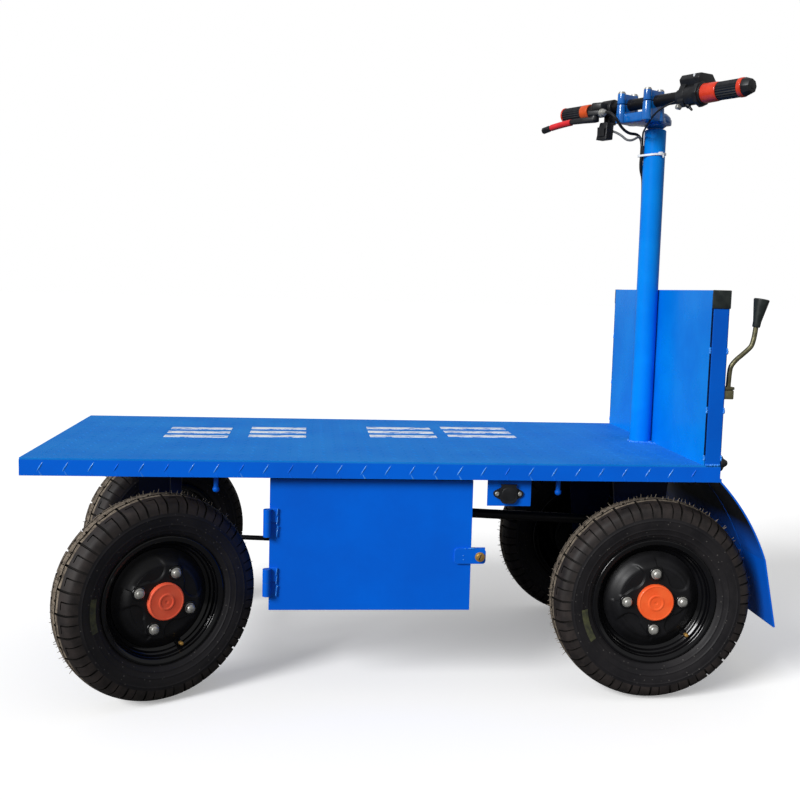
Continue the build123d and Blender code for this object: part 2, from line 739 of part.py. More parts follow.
# Switch box hanging under the bar
with BuildPart() as switch_box:
    with BuildSketch(head.offset(-66)):
        with Locations((72, BAR_FORWARD + 22)):
            Rectangle(30, 22)
    with BuildSketch(head.offset(-30)):
        with Locations((72, BAR_FORWARD + 14)):
            Rectangle(24, 22)
    loft()
    with BuildSketch(head.offset(-30)):
        with Locations((78, BAR_FORWARD)):
            Rectangle(12, 16)
    extrude(amount=30 - 16.3)
save(switch_box, "switch_box")

# Cables from the controls to the tie on the column
tie_height = column_top - TIE_DROP
loom_side = COLUMN_RADIUS + LOOM_RADIUS + 1
loom_top = tie_height + 12
tie_point = Vector(column_x - loom_side, 0, loom_top + SEAT_GAP)
# start and knee in the head's frame, sideways shift at the tie
cable_table = [
    (Vector(-96, BAR_FORWARD - 4, -20), Vector(-40, BAR_FORWARD + 10, -46), -CABLE_RADIUS - SEAT_GAP),
    (Vector(66, BAR_FORWARD + 34, -18), Vector(44, BAR_FORWARD + 24, -44), CABLE_RADIUS + SEAT_GAP),
]
with BuildPart() as cable_tails:
    for start, knee, shift in cable_table:
        first = head.from_local_coords(start)
        second = head.from_local_coords(knee)
        last = tie_point + Vector(0, shift, 0)
        with BuildLine():
            route = FilletPolyline(first, second, last + up * 18, last, radius=12)
        with BuildSketch(Plane(origin=first, z_dir=route % 0)):
            Circle(CABLE_RADIUS)
        sweep()
save(cable_tails, "cable_tails")

# Cable loom down the column, behind it and into the deck
with BuildPart() as cable_loom:
    with BuildLine():
        loom_route = FilletPolyline(
            (column_x - loom_side, 0, loom_top),
            (column_x - loom_side, 0, tie_height - 30),
            (column_x - 24, 17, tie_height - 75),
            (column_x - 9, loom_side + 0.6, tie_height - 120),
            (column_x - 9, loom_side + 0.6, DECK_TOP),
            radius=30,
        )
    with BuildSketch(Plane(origin=loom_route @ 0, z_dir=(0, 0, -1))):
        Circle(LOOM_RADIUS)
    sweep()
save(cable_loom, "cable_loom")

# Upright: posts, top tube and the sheet on its deck side
tube_front = deck_back - TUBE
for label, side in (("post_near", -1), ("post_far", 1)):
    with BuildPart() as post:
        with BuildSketch(Plane.XY.offset(DECK_TOP)):
            with Locations((tube_front + TUBE / 2, side * (half_width - TUBE / 2))):
                RectangleRounded(TUBE, TUBE, 3)
                Rectangle(TUBE - 2 * TUBE_WALL, TUBE - 2 * TUBE_WALL, mode=Mode.SUBTRACT)
        extrude(amount=WALL_TOP - TUBE - DECK_TOP)
    save(post, label)

with BuildPart() as wall_rail:
    with BuildSketch(Plane.XZ.offset(-half_width)):
        with Locations((tube_front + TUBE / 2, WALL_TOP - TUBE / 2)):
            RectangleRounded(TUBE, TUBE, 3)
            Rectangle(TUBE - 2 * TUBE_WALL, TUBE - 2 * TUBE_WALL, mode=Mode.SUBTRACT)
    extrude(amount=DECK_WIDTH)
save(wall_rail, "wall_rail")

with BuildPart() as wall_panel:
    slab(tube_front - PANEL_SHEET, tube_front, near_edge, half_width, DECK_TOP, WALL_TOP)
save(wall_panel, "wall_panel")

# Side lever on the near post: pivot block and bent rod, with a tapered knob
lever_y = near_edge + TUBE / 2
lever_z = WALL_TOP - LEVER_DROP
lever_x = deck_back + LEVER_BLOCK - 8
lever_points = [
    Vector(lever_x, lever_y, lever_z + 14),
    Vector(lever_x, lever_y, lever_z + 57),
    Vector(lever_x + 29, lever_y, lever_z + 88),
    Vector(lever_x + 37, lever_y, lever_z + 130),
]
with BuildPart() as side_lever:
    slab(deck_back, deck_back + LEVER_BLOCK, lever_y - 12, lever_y + 12, lever_z, lever_z + 21)
    with BuildLine():
        FilletPolyline(*lever_points, radius=20)
    with BuildSketch(Plane(origin=lever_points[0], z_dir=lever_points[1] - lever_points[0])):
        Circle(LEVER_RADIUS)
    sweep()
save(side_lever, "side_lever")

knob_axis = (lever_points[3] - lever_points[2]).normalized()
knob = Plane(origin=lever_points[3], z_dir=knob_axis)
with BuildPart() as lever_knob:
    with BuildSketch(knob):
        Circle(KNOB_BASE)
    with BuildSketch(knob.offset(KNOB_LENGTH)):
        Circle(KNOB_TOP)
    loft()
    fillet(lever_knob.edges(), 2)
save(lever_knob, "lever_knob")

# Rear guard: two fenders and a centre apron of one profile, welded under the deck's back edge
# name, y0, y1
fender_inner = half_width - FENDER_WIDTH
fender_bend = skirt_bottom - FENDER_BEND_DROP
fender_foot = deck_back + GUARD_REACH - FENDER_SHEET
fender_table = [
    ("fender_near", -half_width, -fender_inner),
    ("rear_apron", -fender_inner + FENDER_SLIT, fender_inner - FENDER_SLIT),
    ("fender_far", fender_inner, half_width),
]
for label, y0, y1 in fender_table:
    with BuildPart() as guard:
        with BuildSketch(Plane.XZ.offset(-y1)):
            with BuildLine():
                Line((deck_back, skirt_bottom + 6), (deck_back, skirt_bottom))
                ThreePointArc((deck_back, skirt_bottom),
                              (deck_back + FENDER_REACH * 0.62, skirt_bottom - FENDER_BEND_DROP / 2),
                              (deck_back + FENDER_REACH, fender_bend))
                Line((deck_back + FENDER_REACH, fender_bend), (fender_foot, FENDER_CLEARANCE))
                offset(amount=FENDER_SHEET, side=Side.LEFT)
            make_face()
        extrude(amount=y1 - y0)
    save(guard, label)

# Rear axle: tubes, differential housing, the gear case that reaches back to the motor, and
# the brake backplates
rear_x = along(rear_axle_place)
rear_half = REAR_TRACK / 2
drum_face = 14.0
drum_inner = rear_half - drum_face - DRUM_WIDTH
motor_x = rear_x + MOTOR_SETBACK
with BuildSketch() as gear_case:
    Circle(HOUSING_RADIUS - HOUSING_ROUND)
    with Locations((MOTOR_SETBACK, 0)):
        Circle(GEAR_CASE_RADIUS)
    make_hull()

with BuildPart() as rear_axle:
    backplate_y = drum_inner - BACKPLATE
    with BuildSketch(Plane.XZ.offset(-HOUSING_HALF)):
        with Locations((rear_x, axle_z)):
            Circle(HOUSING_RADIUS)
    extrude(amount=2 * HOUSING_HALF)
    fillet(rear_axle.edges().filter_by(GeomType.CIRCLE), HOUSING_ROUND)
    with BuildSketch(Plane.XZ.offset(-backplate_y)):
        with Locations((rear_x, axle_z)):
            Circle(AXLE_TUBE)
    extrude(amount=2 * backplate_y)
    for side in (-1, 1):
        with BuildSketch(Plane.XZ.offset(-side * backplate_y)):
            with Locations((rear_x, axle_z)):
                Circle(DRUM_RADIUS)
        extrude(amount=-side * (BACKPLATE - SEAT_GAP))
        with BuildSketch(Plane.XZ.offset(-side * backplate_y)):
            with Locations((rear_x, axle_z)):
                Circle(STUB_RADIUS)
        extrude(amount=-side * (DRUM_WIDTH + drum_face))
    with BuildSketch(Plane.XZ.offset(-GEAR_CASE_FACE)):
        with Locations((rear_x, axle_z)):
            add(gear_case.sketch)
    extrude(amount=GEAR_CASE_WIDTH)
save(rear_axle, "rear_axle")

with BuildPart() as drive_motor:
    with BuildSketch(Plane.XZ.offset(-GEAR_CASE_FACE)):
        with Locations((motor_x, axle_z)):
            Circle(MOTOR_RADIUS)
    extrude(amount=-MOTOR_LENGTH)
    fillet(drive_motor.edges().filter_by(GeomType.CIRCLE), 6)
save(drive_motor, "drive_motor")

rear_hanger_y = drum_inner - 24
with BuildPart() as rear_hangers:
    for side in (-1, 1):
        hanger(rear_axle_place, side * rear_hanger_y, 1.8 * AXLE_TUBE, AXLE_TUBE + 2, axle_z)
    with BuildSketch(Plane.XZ.offset(-drum_inner)):
        with Locations((rear_x, axle_z)):
            Circle(AXLE_TUBE)
    extrude(amount=2 * drum_inner, mode=Mode.SUBTRACT)
save(rear_hangers, "rear_hangers")


def meridian(centre, outward):
    """Plane through a wheel's axis: X along the axle outwards, Y radially up."""
    return Plane(origin=centre, x_dir=outward, z_dir=outward.cross(up))


steered_out = Vector(*steer(0, 1), 0)
# name, centre x, centre y, outward direction, driven, turn of the wheel as it is parked
wheel_table = [
    ("front_near", front_x - WHEEL_OFFSET * steered_out.X, -kingpin_y - WHEEL_OFFSET * steered_out.Y,
     -steered_out, False, -23.4),
    ("front_far", front_x + WHEEL_OFFSET * steered_out.X, kingpin_y + WHEEL_OFFSET * steered_out.Y,
     steered_out, False, 12),
    ("rear_near", rear_x, -rear_half, Vector(0, -1, 0), True, 0),
    ("rear_far", rear_x, rear_half, Vector(0, 1, 0), True, 31),
]
half_tyre = TYRE_WIDTH / 2
shoulder = TYRE_RADIUS - SHOULDER_DROP
shoulder_half = half_tyre - SHOULDER_INSET
bulge = RIM_FLANGE + BULGE_RISE
half_rim = RIM_WIDTH / 2
bead = half_rim - 4

# One pressed pocket of the wheel's disc: a round end, and a tail that runs round towards the next nut
with BuildSketch() as pocket:
    with Locations((POCKET_CIRCLE, 0)):
        Circle(POCKET_ROUND)
    with PolarLocations(POCKET_CIRCLE + POCKET_ROUND - POCKET_TAIL, 1, POCKET_TURN):
        Circle(POCKET_TAIL)
    make_hull()

for label, wheel_x, wheel_y, outward, driven, parked_turn in wheel_table:
    centre = Vector(wheel_x, wheel_y, axle_z)
    section = meridian(centre, outward)
    axle = Axis(centre, outward)
    with BuildPart() as tyre:
        with BuildSketch(section):
            with BuildLine():
                Line((-bead, RIM_SEAT + SEAT_GAP), (bead, RIM_SEAT + SEAT_GAP))
                Line((bead, RIM_SEAT + SEAT_GAP), (bead, RIM_FLANGE + SEAT_GAP))
                Line((bead, RIM_FLANGE + SEAT_GAP), (half_rim, RIM_FLANGE + 4))
                ThreePointArc((half_rim, RIM_FLANGE + 4), (half_tyre, bulge), (shoulder_half, shoulder))
                ThreePointArc((shoulder_half, shoulder), (0, TYRE_RADIUS), (-shoulder_half, shoulder))
                ThreePointArc((-shoulder_half, shoulder), (-half_tyre, bulge), (-half_rim, RIM_FLANGE + 4))
                Line((-half_rim, RIM_FLANGE + 4), (-bead, RIM_FLANGE + SEAT_GAP))
                Line((-bead, RIM_FLANGE + SEAT_GAP), (-bead, RIM_SEAT + SEAT_GAP))
            make_face()
        revolve(axis=axle)
    save(tyre, f"tyre_{label}")

    with BuildPart() as wheel:
        with BuildSketch(section):
            with BuildLine():
                Polyline(
                    (-half_rim, RIM_FLANGE), (-bead - SEAT_GAP, RIM_FLANGE), (-bead - SEAT_GAP, RIM_SEAT),
                    (-16, RIM_SEAT), (-10, RIM_WELL), (8, RIM_WELL), (14, RIM_SEAT),
                    (bead + SEAT_GAP, RIM_SEAT), (bead + SEAT_GAP, RIM_FLANGE), (half_rim, RIM_FLANGE),
                    (half_rim, RIM_SEAT - RIM_WALL), (16, RIM_SEAT - RIM_WALL),
                    (10, RIM_WELL - RIM_WALL), (-12, RIM_WELL - RIM_WALL),
                    (-18, RIM_SEAT - RIM_WALL), (-half_rim, RIM_SEAT - RIM_WALL),
                    close=True,
                )
            make_face()
        revolve(axis=axle)
        disc_back = DISC_OFFSET - DISC_SHEET
        well_inside = RIM_WELL - RIM_WALL
        with BuildSketch(section):
            with BuildLine():
                Polyline(
                    (disc_back, HUB_RADIUS - 6), (disc_back, DISC_RADIUS - 2), (10, DISC_RADIUS + 6),
                    (10, well_inside + 1), (14, well_inside + 1), (14, DISC_RADIUS + 8),
                    (DISC_OFFSET, DISC_RADIUS), (DISC_OFFSET, CAP_RADIUS),
                    (DISC_OFFSET + 6, CAP_RADIUS - 1), (DISC_OFFSET + 9, CAP_RADIUS - 6),
                    (DISC_OFFSET + 9, 0), (disc_back - 4, 0), (disc_back - 4, STUB_RADIUS + RUNNING_FIT),
                    (-drum_face, STUB_RADIUS + RUNNING_FIT), (-drum_face, HUB_RADIUS - 6),
                    close=True,
                )
            make_face()
        revolve(axis=axle)
        disc_face = Plane(origin=centre, x_dir=up, z_dir=outward).offset(DISC_OFFSET)
        with BuildSketch(disc_face):
            with PolarLocations(0, POCKET_COUNT, POCKET_START + parked_turn):
                add(pocket.sketch)
        extrude(amount=-POCKET_DEPTH, mode=Mode.SUBTRACT)
        if driven:
            drum_back = -drum_face - DRUM_WIDTH
            with BuildSketch(section):
                with BuildLine():
                    Polyline((-drum_face, STUB_RADIUS + RUNNING_FIT), (drum_back, STUB_RADIUS + RUNNING_FIT),
                             (drum_back, DRUM_RADIUS), (4 - drum_face, DRUM_RADIUS),
                             (4 - drum_face, STUB_RADIUS + RUNNING_FIT), close=True)
                make_face()
            revolve(axis=axle)
    save(wheel, f"wheel_{label}")
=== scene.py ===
"""Looks of an electric platform truck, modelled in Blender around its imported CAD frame.

Shapes are written in millimetres in the frame of the CAD model: +X runs from the steered
axle towards the operator, +Y to the far side and +Z up. Each piece is turned to metres when
it is finished, and its object stays at the origin.
"""

from __future__ import annotations

import json
import logging
import math
import random
from collections.abc import Iterable, Sequence
from dataclasses import dataclass
from enum import Enum
from functools import cache

import bmesh
import bpy
from mathutils import Matrix, Vector

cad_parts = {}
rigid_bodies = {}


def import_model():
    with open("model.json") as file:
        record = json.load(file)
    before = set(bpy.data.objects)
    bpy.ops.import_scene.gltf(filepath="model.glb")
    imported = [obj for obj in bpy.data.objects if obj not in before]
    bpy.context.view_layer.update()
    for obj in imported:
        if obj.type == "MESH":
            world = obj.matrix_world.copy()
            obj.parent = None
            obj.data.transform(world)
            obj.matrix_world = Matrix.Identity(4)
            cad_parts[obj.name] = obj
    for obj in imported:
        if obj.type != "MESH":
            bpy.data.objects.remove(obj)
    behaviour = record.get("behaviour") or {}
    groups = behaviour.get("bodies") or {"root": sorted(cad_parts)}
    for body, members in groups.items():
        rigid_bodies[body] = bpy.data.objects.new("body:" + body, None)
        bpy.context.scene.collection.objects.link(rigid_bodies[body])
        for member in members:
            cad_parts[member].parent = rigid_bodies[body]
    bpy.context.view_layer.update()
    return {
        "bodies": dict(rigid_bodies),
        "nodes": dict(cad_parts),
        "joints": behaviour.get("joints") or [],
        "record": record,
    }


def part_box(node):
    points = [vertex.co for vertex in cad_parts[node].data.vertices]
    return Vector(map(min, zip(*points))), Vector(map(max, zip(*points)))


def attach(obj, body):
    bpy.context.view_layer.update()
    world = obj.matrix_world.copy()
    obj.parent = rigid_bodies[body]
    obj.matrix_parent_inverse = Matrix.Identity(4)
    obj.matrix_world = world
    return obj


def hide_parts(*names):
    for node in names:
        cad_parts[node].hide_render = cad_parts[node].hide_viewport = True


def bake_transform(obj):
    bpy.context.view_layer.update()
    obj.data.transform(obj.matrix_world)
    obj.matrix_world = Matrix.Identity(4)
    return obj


log = logging.getLogger("platform_truck")

MM = 0.001
Shape = bmesh.types.BMesh
# Place along the axis, radius and corner rounding of a point of a turned section
Corner = tuple[float, float, float]


def srgb(code: str) -> tuple[float, float, float, float]:
    """Turn an sRGB hex value into a linear colour.

    Args:
        code: Six hex digits, such as "0060C8".

    Returns:
        Linear red, green, blue and an alpha of 1.
    """
    parts = [int(code[place:place + 2], 16) / 255 for place in (0, 2, 4)]
    linear = [c / 12.92 if c <= 0.04045 else ((c + 0.055) / 1.055) ** 2.4 for c in parts]
    return (*linear, 1.0)


def add_node(tree: bpy.types.NodeTree, kind: str, settings: dict | None = None,
             links: dict | None = None) -> bpy.types.Node:
    """Add a node with its settings and links.

    Args:
        tree: Node tree that gets the node.
        kind: Blender's type name without the leading "ShaderNode".
        settings: Values of properties, or of input sockets by name or number.
        links: Output sockets to connect, by the name or number of the input.

    Returns:
        The new node.
    """
    node = tree.nodes.new(f"ShaderNode{kind}")
    for key, value in (settings or {}).items():
        if isinstance(key, str) and hasattr(node, key):
            setattr(node, key, value)
        else:
            node.inputs[key].default_value = value
    for key, socket in (links or {}).items():
        tree.links.new(socket, node.inputs[key])
    return node


class AgeAndPaintedLight(Enum):
    """How a coated surface has aged, and where painted highlight and painted shade lie on it."""

    NONE = "none"
    # Painted highlight of a paler colour along edges, partly edge wear
    EDGES = "edges"
    DUST = "dust"
    SPECKS = "specks"
    # Painted shade: the deck's shadow on the rear guard's upper inner faces
    DECK_SHADOW = "deck_shadow"


@dataclass(frozen=True)
class Finish:
    """A surface whose colour and gloss drift in soft patches over a fine grain.

    Sizes are in millimetres: patch and grain are the widths of the pattern, relief is the
    height of the grain and rounding is how far a sharp edge catches light as a round one.
    The age and light colour shows where it has aged and, for edge highlights and the deck's shadow,
    where painted highlight and painted shade lie; strength is how much of it shows.
    """

    name: str
    colour: str
    shade: str
    patch: float
    grain: float
    relief: float
    roughness: float
    spread: float
    metallic: float = 0.0
    coat: float = 0.0
    rounding: float = 0.0
    age_and_light: AgeAndPaintedLight = AgeAndPaintedLight.NONE
    age_and_light_colour: str = "808080"
    strength: float = 0.35
    specular: float = 0.4

    @cache
    def material(self) -> bpy.types.Material:
        """Build the material once and return it."""
        material, tree = blank_material(self.name)
        place = add_node(tree, "TexCoord").outputs["Object"]
        patches = add_node(tree, "TexNoise", {"Scale": 1 / (self.patch * MM), "Detail": 5.0,
                                              "Roughness": 0.6}, {"Vector": place})
        drift = add_node(tree, "MapRange", {"From Min": 0.36, "From Max": 0.64},
                         {"Value": patches.outputs["Fac"]})
        tint = add_node(tree, "Mix", {"data_type": "RGBA", 6: srgb(self.colour),
                                      7: srgb(self.shade)}, {0: drift.outputs["Result"]})
        grains = add_node(tree, "TexNoise", {"Scale": 1 / (self.grain * MM), "Detail": 3.0},
                          {"Vector": place})
        gloss = add_node(tree, "MapRange", {"From Min": 0.3, "From Max": 0.7,
                                            "To Min": self.roughness - self.spread,
                                            "To Max": self.roughness + self.spread},
                         {"Value": patches.outputs["Fac"]})
        bump = add_node(tree, "Bump", {"Strength": 1.0, "Distance": self.relief * MM},
                        {"Height": grains.outputs["Fac"]})
        if self.rounding:
            rounded = add_node(tree, "Bevel", {"samples": 4, "Radius": self.rounding * MM})
            tree.links.new(rounded.outputs["Normal"], bump.inputs["Normal"])
        tint = self._mix_age_and_light(tree, tint, patches)
        shader = add_node(tree, "BsdfPrincipled",
                          {"Metallic": self.metallic, "Coat Weight": self.coat,
                           "Coat Roughness": 0.08,
                           "Specular IOR Level": 0.5 if self.metallic else self.specular},
                          {"Base Color": tint.outputs[2], "Roughness": gloss.outputs["Result"],
                           "Normal": bump.outputs["Normal"]})
        add_node(tree, "OutputMaterial", {}, {"Surface": shader.outputs["BSDF"]})
        return material

    def _mix_age_and_light(self, tree: bpy.types.NodeTree, tint: bpy.types.Node,
              patches: bpy.types.Node) -> bpy.types.Node:
        """Mix the age and light colour in where the surface has aged and where a highlight or shade
        is painted, and return the last Mix node.
        """
        if self.age_and_light is AgeAndPaintedLight.NONE:
            return tint
        shape = add_node(tree, "NewGeometry")
        if self.age_and_light is AgeAndPaintedLight.EDGES:
            # Painted highlight along edges, partly edge wear: the paler colour goes where a wide
            # rounding bends the normal
            wide = add_node(tree, "Bevel", {"samples": 4, "Radius": 2.2 * MM})
            along = add_node(tree, "VectorMath", {"operation": "DOT_PRODUCT"},
                             {0: wide.outputs["Normal"], 1: shape.outputs["Normal"]})
            where = add_node(tree, "MapRange", {"From Min": 0.97, "From Max": 0.78,
                                                "To Max": self.strength},
                             {"Value": along.outputs["Value"]})
        elif self.age_and_light is AgeAndPaintedLight.SPECKS:
            # Specks of dried dirt about a millimetre and a half across, 9 mm apart
            place = add_node(tree, "TexCoord").outputs["Object"]
            cells = add_node(tree, "TexVoronoi", {"Scale": 1 / (9 * MM), "Randomness": 1.0},
                             {"Vector": place})
            where = add_node(tree, "MapRange", {"From Min": 0.16, "From Max": 0.08,
                                                "To Max": self.strength},
                             {"Value": cells.outputs["Distance"]})
        elif self.age_and_light is AgeAndPaintedLight.DECK_SHADOW:
            # Painted shade: near black on the faces that look forwards and down, towards the
            # wheels, for the deck's shadow on them
            inward = add_node(tree, "VectorMath", {"operation": "DOT_PRODUCT",
                                                   1: (-0.5, 0.0, -0.86)},
                              {0: shape.outputs["Normal"]})
            facing = add_node(tree, "MapRange", {"From Min": 0.02, "From Max": 0.1,
                                                 "To Max": self.strength},
                              {"Value": inward.outputs["Value"]})
            # The painted shade runs out between 270 and 325 mm above the floor
            place = add_node(tree, "TexCoord").outputs["Object"]
            height = add_node(tree, "SeparateXYZ", {}, {"Vector": place})
            upper = add_node(tree, "MapRange", {"From Min": 270 * MM, "From Max": 325 * MM},
                             {"Value": height.outputs["Z"]})
            where = add_node(tree, "Math", {"operation": "MULTIPLY"},
                             {0: facing.outputs["Result"], 1: upper.outputs["Result"]})
            return add_node(tree, "Mix", {"data_type": "RGBA", 7: srgb(self.age_and_light_colour)},
                            {0: where.outputs["Value"], 6: tint.outputs[2]})
        else:
            parts = add_node(tree, "SeparateXYZ", {}, {"Vector": shape.outputs["Normal"]})
            where = add_node(tree, "MapRange", {"From Min": 0.5, "From Max": 1.0,
                                                "To Max": self.strength},
                             {"Value": parts.outputs["Z"]})
        broken = add_node(tree, "Math", {"operation": "MULTIPLY"},
                          {0: where.outputs["Result"], 1: patches.outputs["Fac"]})
        return add_node(tree, "Mix", {"data_type": "RGBA", 7: srgb(self.age_and_light_colour)},
                        {0: broken.outputs["Value"], 6: tint.outputs[2]})


# Sprayed gloss enamel on sheet steel: an even strong blue with a faint orange peel, which catches a
# soft light line along folded edges, strengthened by a painted highlight of paler blue, partly edge
# wear
ENAMEL = Finish("blue_gloss_enamel_on_steel", "0066E2", "005ED6", 160, 2.2, 0.012, 0.34, 0.05,
                coat=0.05, rounding=0.8, age_and_light=AgeAndPaintedLight.EDGES, age_and_light_colour="3A8EE6", strength=0.5,
                specular=0.15)
# The same enamel on thin tube, painted a lighter blue as painted light, since it stands in more
# light and reads lighter; it has the same painted highlight along its edges
TUBE_ENAMEL = Finish("blue_gloss_enamel_on_tube", "0488E8", "007ADE", 120, 2.2, 0.012, 0.28, 0.05,
                     coat=0.08, rounding=0.8, age_and_light=AgeAndPaintedLight.EDGES, age_and_light_colour="58A8F4", strength=0.4,
                     specular=0.06)
# The same enamel on the upright's flat posts, a shade deeper than the sheet between them, with
# the same painted highlight of paler blue along its edges
POST_ENAMEL = Finish("blue_gloss_enamel_on_square_tube", "005CCB", "0056C2", 90, 2.2, 0.012, 0.32,
                     0.05, coat=0.05, rounding=0.8, age_and_light=AgeAndPaintedLight.EDGES, age_and_light_colour="58A8F4", strength=0.6,
                     specular=0.15)
# The same enamel on the load deck: faded and dusted by loads and feet, in long soft patches
DECK_ENAMEL = Finish("blue_enamel_chequer_plate_dusty", "0C78D8", "1C82DC", 110, 1.6, 0.02, 0.62,
                     0.08, rounding=0.8, age_and_light=AgeAndPaintedLight.DUST, age_and_light_colour="86A8CC", strength=0.08,
                     specular=0.03)
# Rolled marks on the folded edges, painted a paler blue as a painted highlight for light caught on
# their crests
MARK_ENAMEL = Finish("enamel_with_painted_highlight_on_rolled_marks", "4A9AEE", "1470D8", 22, 1.6, 0.02, 0.3, 0.05,
                     coat=0.2)
# Thin enamel under the deck, painted dark navy as painted shade for the deep shade there, with
# grey road dust on what faces up
UNDER_ENAMEL = Finish("thin_blue_enamel_with_painted_shade_and_road_dust", "06163A", "0A1E48", 70, 2.0, 0.03, 0.5,
                      0.08, rounding=0.8, age_and_light=AgeAndPaintedLight.DUST, age_and_light_colour="3A3E44", strength=0.3,
                      specular=0.25)
# Gloss enamel on the rear guard, with painted shade: near black on the upper side towards the
# wheels, where the deck's shadow falls
GUARD_ENAMEL = Finish("blue_enamel_with_painted_deck_shadow_inside", "0062DA", "005AD0", 120, 2.2, 0.012,
                      0.36, 0.05, coat=0.1, rounding=0.8, age_and_light=AgeAndPaintedLight.DECK_SHADOW, age_and_light_colour="04060E",
                      strength=1.0, specular=0.3)
# Enamel over weld metal, thicker and glossier where it pools round the ripples, painted a paler
# blue than the sheet as a painted highlight on them
WELD_ENAMEL = Finish("blue_enamel_over_weld_with_painted_highlight", "3C96EE", "0A70D8", 6, 1.2, 0.05, 0.3, 0.08, coat=0.3)
# Painted shade: a dark strip where the sheet stands off the post, and in the slot of the lock's
# head
SEAM_SHADE = Finish("painted_shade_in_crevice", "04184A", "020C28", 30, 1.0, 0.02, 0.7, 0.05, specular=0.1)
# Darker gloss enamel on machined clamps: deep blue with crisp highlights, and a painted highlight
# of paler blue along its edges, partly edge wear
HEAD_ENAMEL = Finish("deep_blue_enamel_on_cast_steel", "0A6CC0", "0658A6", 40, 1.2, 0.01, 0.18,
                     0.04, coat=0.7, rounding=0.9, age_and_light=AgeAndPaintedLight.EDGES, age_and_light_colour="3C92DC", strength=0.4)
# Black enamel on hot rolled steel: slightly brown black with road dust on what faces up
CHASSIS_BLACK = Finish("black_enamel_on_rolled_steel", "0C0C0F", "141315", 50, 1.5, 0.04, 0.42, 0.1,
                       rounding=0.8, age_and_light=AgeAndPaintedLight.DUST, age_and_light_colour="4A463F", strength=0.25, specular=0.3)
# Black gloss enamel on pressed rims: near mirror black that shows long curved highlights
RIM_BLACK = Finish("black_gloss_enamel_on_pressed_rim", "08080A", "0D0D10", 60, 1.0, 0.006, 0.16,
                   0.04, coat=0.25, age_and_light=AgeAndPaintedLight.DUST, age_and_light_colour="3A3632", strength=0.1, specular=0.3)
# The same black on the wheel's disc, duller from handling, so pressed forms show as soft lines
DISC_BLACK = Finish("black_satin_enamel_on_pressed_disc", "0E0E10", "141417", 40, 1.0, 0.01, 0.46,
                    0.05, age_and_light=AgeAndPaintedLight.DUST, age_and_light_colour="3A3632", strength=0.1, specular=0.3)
# Tyre side: moulded rubber, dull blue-black with specks of dried dirt
SIDEWALL = Finish("moulded_tyre_rubber_side", "151417", "1E1C1E", 45, 0.9, 0.05, 0.58, 0.1,
                  age_and_light=AgeAndPaintedLight.SPECKS, age_and_light_colour="6E6A66", strength=0.9, specular=0.3)
# Tyre shoulder: rubber that has met the road, brown-grey in patches
SHOULDER = Finish("scuffed_tyre_rubber_shoulder", "1E1B1B", "302A28", 22, 1.1, 0.09, 0.6, 0.08,
                  specular=0.3)
# Tyre crown: pale and matt, partly from dry dust worked into the rubber and partly a painted
# highlight on the tread tops
CROWN = Finish("dusty_tyre_rubber_crown_with_painted_highlight", "4E463E", "857A6C", 9, 1.2, 0.12, 0.8, 0.08, specular=0.2)
# Groove bottoms, where dust and shade gather
GROOVE = Finish("tyre_rubber_groove", "0E0D0D", "1B1816", 18, 1.0, 0.06, 0.8, 0.06, specular=0.2)
# Pale, dry moulding hairs and scuffed flashing
HAIR_RUBBER = Finish("dry_rubber_moulding_hair", "8A8072", "6E655A", 4, 0.8, 0.0, 0.8, 0.05)
# Wiped marking ink on the tyre's side: dull yellow-green, broken by the rubber under it
TYRE_INK = Finish("wiped_yellow_green_ink_on_rubber", "505236", "34362A", 12, 1.0, 0.05, 0.6, 0.08)
# Moulded orange plastic cap: satin, a little paler where it is thick
CAP_ORANGE = Finish("moulded_orange_abs", "FF6A34", "FA5C28", 22, 0.8, 0.02, 0.4, 0.05, coat=0.1,
                    rounding=0.4, specular=0.3)
# The same cap from a redder batch
CAP_RED = Finish("moulded_orange_red_abs", "FF6A4A", "FA5E40", 22, 0.8, 0.02, 0.4, 0.05, coat=0.1,
                 rounding=0.4, specular=0.3)
# Glossy orange-red sleeve on the throttle
RED_SLEEVE = Finish("moulded_orange_red_sleeve", "DC4226", "CC3018", 12, 0.9, 0.02, 0.26, 0.06,
                    coat=0.3)
# Soft red sleeve on the brake lever
LEVER_SLEEVE = Finish("soft_red_lever_sleeve", "E02C32", "D0222A", 12, 0.9, 0.02, 0.36, 0.06,
                      coat=0.1)
# Orange band of the far grip
ORANGE_BAND = Finish("moulded_orange_sleeve", "DC5A26", "C84818", 12, 0.9, 0.02, 0.36, 0.06,
                     coat=0.15)
# Grip rubber: matt black with a slight grey bloom on the rib tops
GRIP_RUBBER = Finish("ribbed_grip_rubber", "17191D", "202226", 9, 0.6, 0.04, 0.5, 0.08)
# Moulded glass-filled nylon: satin black-grey with a fine spark texture
BLACK_NYLON = Finish("moulded_black_nylon", "141518", "1E1F22", 16, 0.5, 0.03, 0.4, 0.07,
                     rounding=0.5)
# Black polythene end plug, greyer with age
PLUG_PLASTIC = Finish("moulded_black_polythene", "1E2424", "2A302E", 12, 0.7, 0.03, 0.42, 0.06,
                      rounding=0.6, specular=0.3)
# Cable jacket: smooth soft black
CABLE_JACKET = Finish("soft_cable_jacket", "0E0F12", "18191C", 14, 0.8, 0.02, 0.42, 0.08)
# Braided grey jacket of the switch's cable
GREY_JACKET = Finish("grey_braided_cable_jacket", "7A7C7E", "525456", 3, 0.9, 0.08, 0.55, 0.08)
# Natural nylon cable tie
TIE_NYLON = Finish("natural_nylon_strip", "EEF1F4", "DDE3E8", 8, 0.6, 0.02, 0.35, 0.05)
# Bright zinc on nuts and screws: silver with soft grey patches
BRIGHT_ZINC = Finish("bright_zinc_on_steel", "C6C5C0", "96958F", 6, 0.5, 0.02, 0.4, 0.08,
                     metallic=0.6, rounding=0.4)
